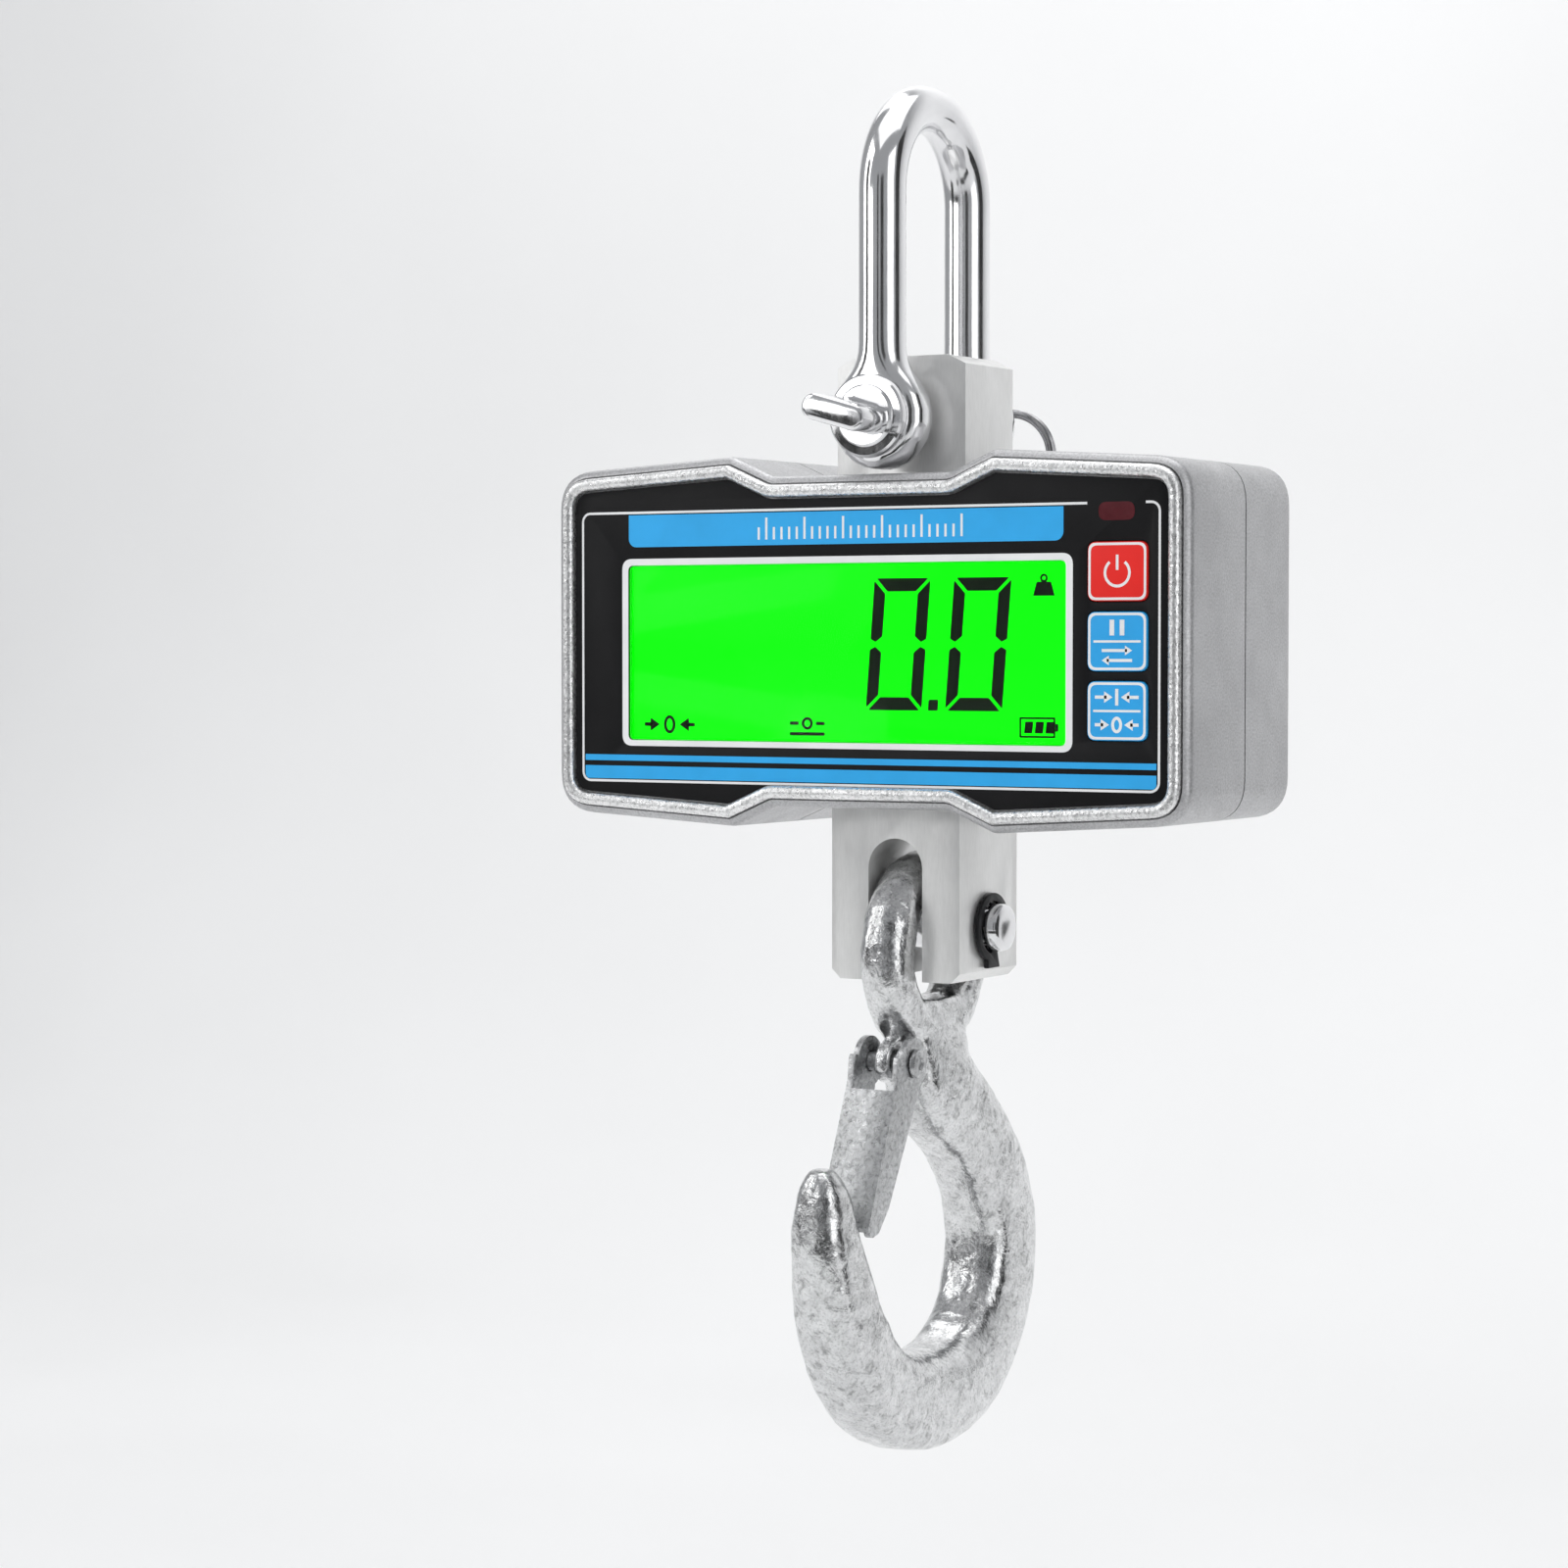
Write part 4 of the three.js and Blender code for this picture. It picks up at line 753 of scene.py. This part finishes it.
# The housing's outline: half its width, half its height at the corners, at the peaks and in the notches,
# and how far out the peaks and the notches' corners stand.
HALF_W, CORNER_H, PEAK_H, NOTCH_H = SHELL_HIGH[0], 39.6, SHELL_HIGH[2] - MID_Z, 37.7
PEAK_X, NOTCH_X = 33.4, 22.5
# Each key's body, slot and material.
KEYS = {
    "power_key": ("power_button", "key_red", RED_INK),
    "hold_key": ("hold_button", "key_blue", BLUE_KEY),
    "tare_key": ("tare_button", "key_blue", BLUE_KEY),
}


def housing_outline(inset):
    """The housing's front outline, moved inwards, as (x, z)."""
    lower = [(-HALF_W, -CORNER_H, 9.5), (-PEAK_X, -PEAK_H, 4), (-NOTCH_X, -NOTCH_H, 4),
             (NOTCH_X, -NOTCH_H, 4), (PEAK_X, -PEAK_H, 4), (HALF_W, -CORNER_H, 9.5)]
    points = lower + [(-x, -z, r) for x, z, r in lower]
    moved = []
    count = len(points)
    for i, (x, z, radius) in enumerate(points):
        before = (Vector((x, z)) - Vector(points[i - 1][:2])).normalized()
        after = (Vector(points[(i + 1) % count][:2]) - Vector((x, z))).normalized()
        convex = before.x * after.y - before.y * after.x > 0
        middle = Vector((-before.y - after.y, before.x + after.x)).normalized()
        reach = inset / middle.dot(Vector((-before.y, before.x)))
        rounding = max(radius + (-inset if convex else inset), 0.4)
        moved.append((x + middle.x * reach, z + middle.y * reach, rounding))
    return [(x, z + MID_Z) for x, z in round_corners(moved, 8)]


def column_cutters():
    """Cutters for the openings that the load column passes through."""
    gap, cutters = 1.7, []
    for node, bottom, top in (("upper_lug", 20, 60), ("lower_clevis", -60, -20)):
        low, high = node_box(node)
        left, right, z0, z1 = low[0] - gap, high[0] + gap, MID_Z + bottom, MID_Z + top
        outline = [(left, z0), (right, z0), (right, z1), (left, z1)]
        cutters.append(slab("cutter", outline, low[1] - gap, high[1] + gap))
    return cutters


def shell_body(name, outside, inside):
    """One half of the housing: a solid outside less a solid inside, each a profile of (inset, y)."""
    solid = pillow(name, [(housing_outline(inset), y) for inset, y in outside])
    hollow = pillow("hollow", [(housing_outline(inset), y) for inset, y in inside])
    return cut(solid, hollow, *column_cutters())


def outline_of(node, radius, margin=0.0, segments=6):
    """A node's outline in x and z with rounded corners, widened by a margin."""
    low, high = node_box(node)
    width, height = high[0] - low[0] + 2 * margin, high[2] - low[2] + 2 * margin
    return rectangle(*centre_xz(low, high), width, height, radius, segments)


def node_slab(name, node, radius):
    """A slab that fills a node's box, with rounded corners."""
    low, high = node_box(node)
    return slab(name, outline_of(node, radius), low[1], high[1])


def opening(node, margin, radius, front=-40, rear=-20):
    """A cutter of a node's outline, widened by a margin."""
    return slab("opening", outline_of(node, radius, margin), front, rear)


WALL, SEAM, SEAM_GAP, LIP, FRONT_WALL, PANEL_SEAT = 3.2, -2.0, 0.28, 2.4, -31.2, -28.6


def build_shells():
    rim = [(LIP - r, y) for r, y in arc((0, FRONT_Y + LIP), LIP, 0, -90)]
    outside = [(0, SEAM - SEAM_GAP), (0, -12.0)] + [r for r in rim if r[0] < 1.5]
    outside += [(1.65, FRONT_Y + 0.05), (1.75, FRONT_Y + 0.2), (1.75, FRONT_WALL)]
    front = shell_body("front_shell_casting", outside, [(WALL, SEAM + 1), (WALL, PANEL_SEAT)])
    cut(front, opening("display_window", 0.4, 1.5), *[opening(key, -0.3, 2) for key in KEYS])
    put(front, PAINT, "scale_body", "cast_aluminium", "front_shell")

    outside = [(0, SEAM + SEAM_GAP), (0, 10.0)]
    outside += [(LIP - r, y) for r, y in arc((0, REAR_Y - LIP), LIP, 0, 90)]
    rear = shell_body("rear_shell_casting", outside, [(WALL, SEAM - 1), (WALL, REAR_Y - WALL)])
    low, high = node_box("battery_door")
    pocket = opening("battery_door", 0.4, 3.4, low[1] - 0.3, REAR_Y + 5)
    bay = slab("bay", rectangle(*centre_xz(low, high), 45.8, 52, 1.5), 10, REAR_Y + 5)
    wells = []
    for i in range(4):
        x, z = centre_xz(*node_box(f"case_screw_{i + 1}"))
        wells.append(rod("y", 3.4, 22.2, REAR_Y + 2, (x, 0, z), 40))
    cut(rear, pocket, bay, *wells)
    put(rear, PAINT, "scale_body", "cast_aluminium", "rear_shell")


def build_bezel():
    low, high = node_box("bezel_frame")
    outer, inner = 2.0, 4.9
    middle, half = (outer + inner) / 2, (inner - outer) / 2
    profile = [(outer, high[1])] + arc((middle, low[1] + half), half, 180, 360, 12) + [(inner, high[1])]
    rings = [[Vector((x, y, z)) for x, z in housing_outline(inset)] for inset, y in profile]
    put(skin("bezel_bead", rings, closed=True), BEAD, "scale_body", "bright_aluminium", "bezel_frame")


# ---- Printing ----

PRINT_THICKNESS = 0.02


def prints(name, shapes, y, material, slot="panel_film", body="scale_body"):
    """Printing as thin plates: outlines in x and z, from the plane y back. A shape may be a pair of outlines
    of equally many points, which prints the band between them."""
    verts, faces = [], []
    for shape in shapes:
        base = len(verts)
        loops = shape if isinstance(shape, tuple) else (shape,)
        count = len(loops[0])
        for depth in (y, y + PRINT_THICKNESS):
            verts += [(u, depth, v) for loop in loops for u, v in loop]
        rear = count * len(loops)
        if len(loops) == 1:
            faces += [tuple(base + i for i in range(count)), tuple(base + rear + i for i in range(count))]
        for i in range(count):
            j = (i + 1) % count
            faces.append((base + i, base + j, base + rear + j, base + rear + i))
            if len(loops) == 2:
                k, n = count + i, count + j
                faces.append((base + k, base + n, base + rear + n, base + rear + k))
                faces.append((base + i, base + j, base + n, base + k))
                faces.append((base + rear + i, base + rear + j, base + rear + n, base + rear + k))
    put(mesh(name, verts, faces), material, body, slot)


def stroke(points, width):
    """A band of constant width along a line of points, as one outline."""
    left, right = [], []
    points = [Vector(p) for p in points]
    for i, p in enumerate(points):
        before, after = points[max(i - 1, 0)], points[min(i + 1, len(points) - 1)]
        along = (after - before).normalized()
        side = Vector((-along.y, along.x)) * width / 2
        left.append(tuple(p + side))
        right.append(tuple(p - side))
    return left + right[::-1]


def line(a, b, width):
    return stroke([a, b], width)


def arrow(x0, x1, z, width, head):
    """A line with a head at its x1 end."""
    back, half = head if x1 < x0 else -head, head * 0.62
    tip = [(x1, z), (x1 + back, z + half), (x1 + back, z - half)]
    return [line((x0, z), (x1 + back * 0.7, z), width), tip]


def nought(x, z, a, b, wall):
    """An oval band: half its outer width and height, and how wide the band is."""
    loops = []
    for inset in (0, wall):
        angles = [2 * PI * i / 28 for i in range(28)]
        loops.append([(x + (a - inset) * math.cos(t), z + (b - inset) * math.sin(t)) for t in angles])
    return tuple(loops)


def digit(x, z):
    """Six segments of a seven-segment nought, whose bottom left corner is at x, z."""
    h, w, t, slant, gap = 29.6, 14.2, 3.0, 2.3, 0.5
    half = h / 2
    top = [(gap, h), (w - gap, h), (w - gap - t, h - t), (gap + t, h - t)]
    bottom = [(gap, 0), (gap + t, t), (w - gap - t, t), (w - gap, 0)]
    upper = [(0, h - gap), (t, h - gap - t), (t, half + 0.9 + t * 0.3), (t * 0.45, half + gap),
             (0, half + 0.9 + t * 0.1)]
    lower = [(0, gap), (t, gap + t), (t, half - 0.9 - t * 0.3), (t * 0.45, half - gap),
             (0, half - 0.9 - t * 0.1)]
    shapes = [top, bottom, upper, lower] + [[(w - px, pz) for px, pz in shape] for shape in (upper, lower)]
    return [[(x + px + slant * pz / h, z + pz) for px, pz in shape] for shape in shapes]


def build_panel():
    low, high = node_box("overlay_panel")
    panel = slab("overlay_film", housing_outline(5.2), low[1], high[1])
    cut(panel, opening("display_window", 0.25, 1.4), *[opening(key, -0.5, 2) for key in KEYS])
    bevel(panel, 0.12, 2)
    put(panel, FILM, "scale_body", "panel_film", "overlay_panel")

    y, m = low[1] - 0.03, MID_Z
    left, right, top, bottom, turn = -73.8, 73.8, m + 30.0, m - 32.4, 2
    # The thin frame line, open at the top right.
    corners = ((left + turn, top - turn, 90), (left + turn, bottom + turn, 180),
               (right - turn, bottom + turn, 270), (right - turn, top - turn, 0))
    ring = [(56.6, top)]
    for x, z, start in corners:
        ring += arc((x, z), turn, start, start + 90, 8)
    ring.append((70.5, top))
    white = [line(a, b, 0.55) for a, b in zip(ring, ring[1:])]
    # The display's white border.
    window_x = centre_xz(*node_box("display_window"))[0]
    border = rectangle(window_x, m - 2.45, 116.1, 43.5, 2.6, 8)
    white.append((border, outline_of("display_window", 1.4, 0.25, 8)))
    # A row of ticks stands in for the heading.
    foot = m + 23.3
    for i in range(27):
        x, tip = -26 + 2 * i, foot + (5.0 if i % 5 == 1 else 2.8)
        white.append([(x - 0.28, foot), (x + 0.28, foot), (x + 0.28, tip), (x - 0.28, tip)])
    prints("panel_print_white", white, y - 0.02, WHITE_INK)
    # The heading's blue band and the two stripes along the bottom.
    b0, b1, band_top, band_z = -61.1, 50.9, top - 0.55, m + 22.0 + turn
    band = [(b0, band_top)] + arc((b0 + turn, band_z), turn, 180, 270)
    band += arc((b1 - turn, band_z), turn, 270, 360) + [(b1, band_top)]
    x0, x1 = left + 0.6, right - 0.6
    thin = [(x0, m - 27.7), (x1, m - 27.7), (x1, m - 26.3), (x0, m - 26.3)]
    thick = [(x0, m - 28.9), (x0, m - 31.2), (left + 1.2, m - 31.9), (right - 1.2, m - 31.9), (x1, m - 31.2),
             (x1, m - 28.9)]
    prints("panel_print_blue", [band, thin, thick], y, BLUE_INK)
    lens = rectangle(63.6, m + 28.2, 8.6, 4.0, 1.9, 8)
    prints("receiver_lens", [lens], y - 0.02, SMOKED, "black_plastic")


def build_display():
    window = node_slab("window_pane", "display_window", 1.2)
    bevel(window, 0.12, 2)
    put(window, WINDOW, "scale_body", "window", "display_window")
    glass = node_slab("display_cell", "display_glass", 0.8)
    bevel(glass, 0.15, 2)
    put(glass, LCD_GREEN, "scale_body", "display", "display_glass")

    m = MID_Z
    foot = m - 15.4
    marks = digit(1.1, foot) + digit(21.2, foot)
    marks.append([(16.9, foot), (19.4, foot), (19.6, m - 12.9), (17.1, m - 12.9)])
    # Battery: a frame of four bars, a nub and three charge bars.
    b0, b1, c0, c1 = 39.9, 48.2, m - 20.9, m - 16.8
    marks += [line((b0, c), (b1, c), 0.45) for c in (c0, c1)]
    marks += [line((b, c0 - 0.2), (b, c1 + 0.2), 0.45) for b in (b0, b1)]
    marks.append(line((b1 + 0.6, c0 + 1.2), (b1 + 0.6, c1 - 1.2), 0.7))
    for i in range(3):
        x, low, high = b0 + 0.9 + 2.6 * i, c0 + 0.75, c1 - 0.75
        marks.append([(x, low), (x + 2, low), (x + 2.3, high), (x + 0.3, high)])
    # Zero mark: a nought between two arrows. Steady mark: a ring over a level line.
    z = m - 19.1
    marks += arrow(-57.6, -53.4, z, 0.9, 2.6) + arrow(-43.9, -48.1, z, 0.9, 2.6)
    marks += [nought(-50.75, z, 1.6, 2.15, 0.8), nought(-14.0, z + 0.6, 1.5, 1.5, 0.75)]
    for x0, x1, height in ((-18.6, -9.4, -1.8), (-18.6, -16.2, 0.6), (-11.8, -9.4, 0.6)):
        marks.append(line((x0, z + height), (x1, z + height), 0.85))
    # Unit: a weight, drawn as a trapezium with a ring on top.
    z = m + 12.0
    marks.append([(42.9, z - 2.0), (48.2, z - 2.0), (47.3, z + 1.1), (43.8, z + 1.1)])
    marks.append(nought(45.55, z + 1.9, 0.95, 0.95, 0.5))
    prints("display_marks", marks, node_box("display_glass")[0][1] - 0.04, LCD_BLACK, "display")


def key_signs(node, x, z):
    """The signs on a key whose middle is at x, z."""
    if node == "power_key":
        return [stroke(arc((x, z - 0.3), 2.9, 128, 412, 28), 0.62), line((x, z + 0.3), (x, z + 3.6), 0.62)]
    signs = [line((x - 5.6, z), (x + 5.6, z), 0.5)]
    if node == "hold_key":
        signs += [line((x + side, z + 1.3), (x + side, z + 4.7), 1.1) for side in (-1.2, 1.2)]
        signs += arrow(x - 3.6, x + 3.6, z - 1.95, 0.65, 1.7) + arrow(x + 3.6, x - 3.6, z - 4.1, 0.65, 1.7)
    else:
        signs.append(line((x, z + 1.2), (x, z + 4.8), 0.75))
        for height, tip in ((3.0, 1.0), (-3.0, 1.8)):
            signs += arrow(x - 5.2, x - tip, z + height, 0.7, 2.0)
            signs += arrow(x + 5.2, x + tip, z + height, 0.7, 2.0)
        signs.append(nought(x, z - 3.0, 1.3, 1.8, 0.7))
    return signs


def build_keys():
    for node, (body, slot, material) in KEYS.items():
        low, high = node_box(node)
        x, z = centre_xz(low, high)
        width, height, front = 14.2, 12.9, low[1]
        # How much wider than the cap each step of the key is, where it is in y, and its corner radius.
        steps = [(1.4, -27.3, 1.0), (1.4, -28.3, 1.0), (0, -28.3, 2.0), (0, front + 0.35, 2.0),
                 (-0.15, front + 0.14, 1.9), (-0.5, front + 0.03, 1.8), (-1.0, front, 1.6)]
        cap = pillow(node + "_cap", [(rectangle(x, z, width + d, height + d, r, 8), y) for d, y, r in steps])
        key = merge(node + "_cap", [cap, rod("y", 1.8, high[1], -27.6, (x, 0, z), 24)])
        put(key, material, body, slot, node)
        outer = rectangle(x, z, width - 0.5, height - 0.5, 1.8, 8)
        inner = rectangle(x, z, width - 1.6, height - 1.6, 1.5, 8)
        prints(node + "_print", [(outer, inner)] + key_signs(node, x, z), front - 0.03, WHITE_INK, slot, body)


# ---- Battery door and screws ----

def build_screw(node, body, thick, shank):
    """A pan-head screw with a cross slot: how thick its head is, and its shank's radius."""
    low, high = node_box(node)
    x, z = centre_xz(low, high)
    bottom, top, head = low[1], high[1], (high[0] - low[0]) / 2
    neck = top - thick
    profile = [(0, bottom), (shank * 0.6, bottom), (shank, bottom + 1), (shank, neck), (head - 0.1, neck),
               (head, neck + 0.15), (head, top - 0.5 * thick), (head * 0.9, top - 0.2 * thick),
               (head * 0.66, top - 0.04), (0, top)]
    screw = lathe(node + "_pan", profile, "y", (x, 0, z), 32)
    turn = 0.35 + 0.9 * x + 0.5 * z
    a, b = head * 0.62, head * 0.11
    blades = []
    for angle in (turn, turn + PI / 2):
        c, s = math.cos(angle), math.sin(angle)
        outline = [(x + c * u - s * v, z + s * u + c * v) for u, v in ((a, b), (-a, b), (-a, -b), (a, -b))]
        blades.append(slab("blade", outline, top - 0.63 * thick, top + 1))
    cut(screw, *blades)
    put(screw, SCREW, body, "screw_steel", node)


def build_rear():
    low, high = node_box("battery_door")
    x, z = centre_xz(low, high)
    face, seat = high[1], high[1] - 1.3
    door = node_slab("battery_door_cover", "battery_door", 3.0)
    profile = [(0, 20), (1.1, 20), (1.1, seat), (2.4, seat), (2.4, 30), (0, 30)]
    holes = []
    for i in (1, 2):
        hole_x, hole_z = centre_xz(*node_box(f"door_screw_{i}"))
        holes.append(lathe("hole", profile, "y", (hole_x, 0, hole_z), 32))
    for i in range(5):
        holes.append(slab("groove", rectangle(x, z - 10 + 5 * i, 26, 1.6, 0.7, 4), face - 0.5, face + 2))
    cut(door, *holes)
    bevel(door, 0.3, 3)
    put(door, PAINT, "door", "cast_aluminium", "battery_door")
    for i in (1, 2, 3, 4):
        build_screw(f"case_screw_{i}", "scale_body", 2, 1.4)
    for i in (1, 2):
        build_screw(f"door_screw_{i}", "door", 0.9, 0.8)


build_shackle()
build_pin()
build_split_ring()
build_column()
build_hook()
build_latch()
build_latch_spring()
build_shells()
build_bezel()
build_panel()
build_display()
build_keys()
build_rear()

# The pieces inside keep their CAD shapes and get real surfaces.
INSIDE = (
    (BLOCK, "load_cell"),
    (SCREW, "upper_stud lower_stud board_screw_1 board_screw_2 board_screw_3 board_screw_4"),
    (RUBBER, "shell_gasket_left shell_gasket_right top_seal bottom_seal"),
    (WHITE_PLASTIC, "backlight_plate"),
    (BOARD, "main_board"),
    (BLACK_PLASTIC, "infrared_receiver buzzer battery_holder key_switch_1 key_switch_2 key_switch_3"),
    (SLEEVE, "battery_cell_1 battery_cell_2 battery_cell_3"),
    (CABLE, "gauge_cable battery_lead"),
)
for material, names in INSIDE:
    for name in names.split():
        materials = frame["nodes"][name].data.materials
        materials.clear()
        materials.append(material)


# ---- Stage, light and camera ----

def stage():
    """A pale floor that bends up into a back wall."""
    floor_z, back_y, bend = -395.0, 900.0, 400
    profile = [(-1600, floor_z)] + arc((back_y - bend, floor_z + bend), bend, -90, 0, 16) + [(back_y, 1800)]
    verts = [(x, y, z) for y, z in profile for x in (-2600, 2600)]
    faces = [(2 * i, 2 * i + 1, 2 * i + 3, 2 * i + 2) for i in range(len(profile) - 1)]
    floor = mesh("sweep_floor", verts, faces, 60)
    f = Finish("pale_floor")
    tone = f.ramp(f.noise(300, 2), [(0.3, 0.88), (0.7, 0.92)])
    floor.data.materials.append(f.done(tone, f.noise(80, 2), 0.7, 0.85))


def stand(name, data, place_mm, target_mm, axis):
    """Puts a light or a card in the scene at a place, with an axis of its own towards a target."""
    obj = add(name, data)
    obj.location = Vector(place_mm) * MM
    obj.rotation_euler = (Vector(target_mm) - Vector(place_mm)).to_track_quat(axis, "Y").to_euler()
    return obj


def area(name, place_mm, target_mm, width, height, power):
    data = bpy.data.lights.new(name, "AREA")
    data.shape, data.size, data.size_y, data.energy = "RECTANGLE", width * MM, height * MM, power
    stand(name, data, place_mm, target_mm, "-Z")


def card(name, place_mm, target_mm, width, height, tone):
    """A dark card that reflections show and the camera doesn't."""
    data = bpy.data.meshes.new(name)
    w, h = width / 2 * MM, height / 2 * MM
    data.from_pydata([(-w, -h, 0), (w, -h, 0), (w, h, 0), (-w, h, 0)], [], [(0, 1, 2, 3)])
    obj = stand(name, data, place_mm, target_mm, "Z")
    f = Finish(name)
    f.link(f.ramp(f.noise(100, 1), [(0.3, tone * 0.9), (0.7, tone)]), f.shader.inputs["Base Color"])
    f.shader.inputs["Roughness"].default_value = 0.9
    data.materials.append(f.material)
    obj.visible_camera = False
    obj.visible_shadow = False
    obj.visible_diffuse = False


stage()
MIDDLE = (0, 0, -150)
area("key_light", (-1150, -800, 500), MIDDLE, 900, 1200, 8)
area("fill_light", (1200, -500, 150), MIDDLE, 700, 1300, 3.6)
area("top_light", (100, -100, 900), MIDDLE, 1300, 900, 3.6)
area("backdrop_light", (-300, 350, 900), (0, 900, 200), 1500, 600, 5)
card("dark_card_left", (-520, -420, -100), MIDDLE, 180, 900, 0.02)
card("dark_card_camera", (520, -1080, -150), MIDDLE, 300, 1100, 0.05)
card("dark_card_front", (110, -1150, -60), MIDDLE, 130, 900, 0.03)
card("dark_card_right", (620, 150, -80), MIDDLE, 260, 900, 0.03)
card("dark_card_low", (40, -460, -365), MIDDLE, 420, 150, 0.03)
card("dark_card_under", (330, -300, -380), MIDDLE, 300, 130, 0.05)
card("dark_card_hook", (450, 780, -300), (0, 0, -260), 240, 170, 0.03)
card("dark_card_panel", (-532, -1000, -124), (-532, 0, -124), 420, 214, 0.01)
area("front_strip", (-600, -1040, 80), (0, 0, -60), 420, 190, 0.6)

world = bpy.data.worlds.new("studio")
bpy.context.scene.world = world
world.use_nodes = True
background = world.node_tree.nodes["Background"]
background.inputs["Color"].default_value = (0.95, 0.97, 1.0, 1)
background.inputs["Strength"].default_value = 0.36

# The camera's place, its turn and its lens were worked out from the photo's perspective.
CAMERA_PLACE = (398.0, -755.0, -119.0)
CAMERA_AZIMUTH, CAMERA_ELEVATION = math.radians(30), math.radians(2.126)
CAMERA_LENS = 84.15
camera_data = bpy.data.cameras.new("camera")
camera_data.sensor_width = 36
camera_data.lens = CAMERA_LENS
camera_data.clip_end = 20
camera = add("camera", camera_data)
camera.location = Vector(CAMERA_PLACE) * MM
level, fall = math.cos(CAMERA_ELEVATION), math.sin(CAMERA_ELEVATION)
look = Vector((-math.sin(CAMERA_AZIMUTH) * level, math.cos(CAMERA_AZIMUTH) * level, -fall))
camera.rotation_euler = look.to_track_quat("-Z", "Y").to_euler()
bpy.context.scene.camera = camera
bpy.context.scene.view_settings.view_transform = "Standard"
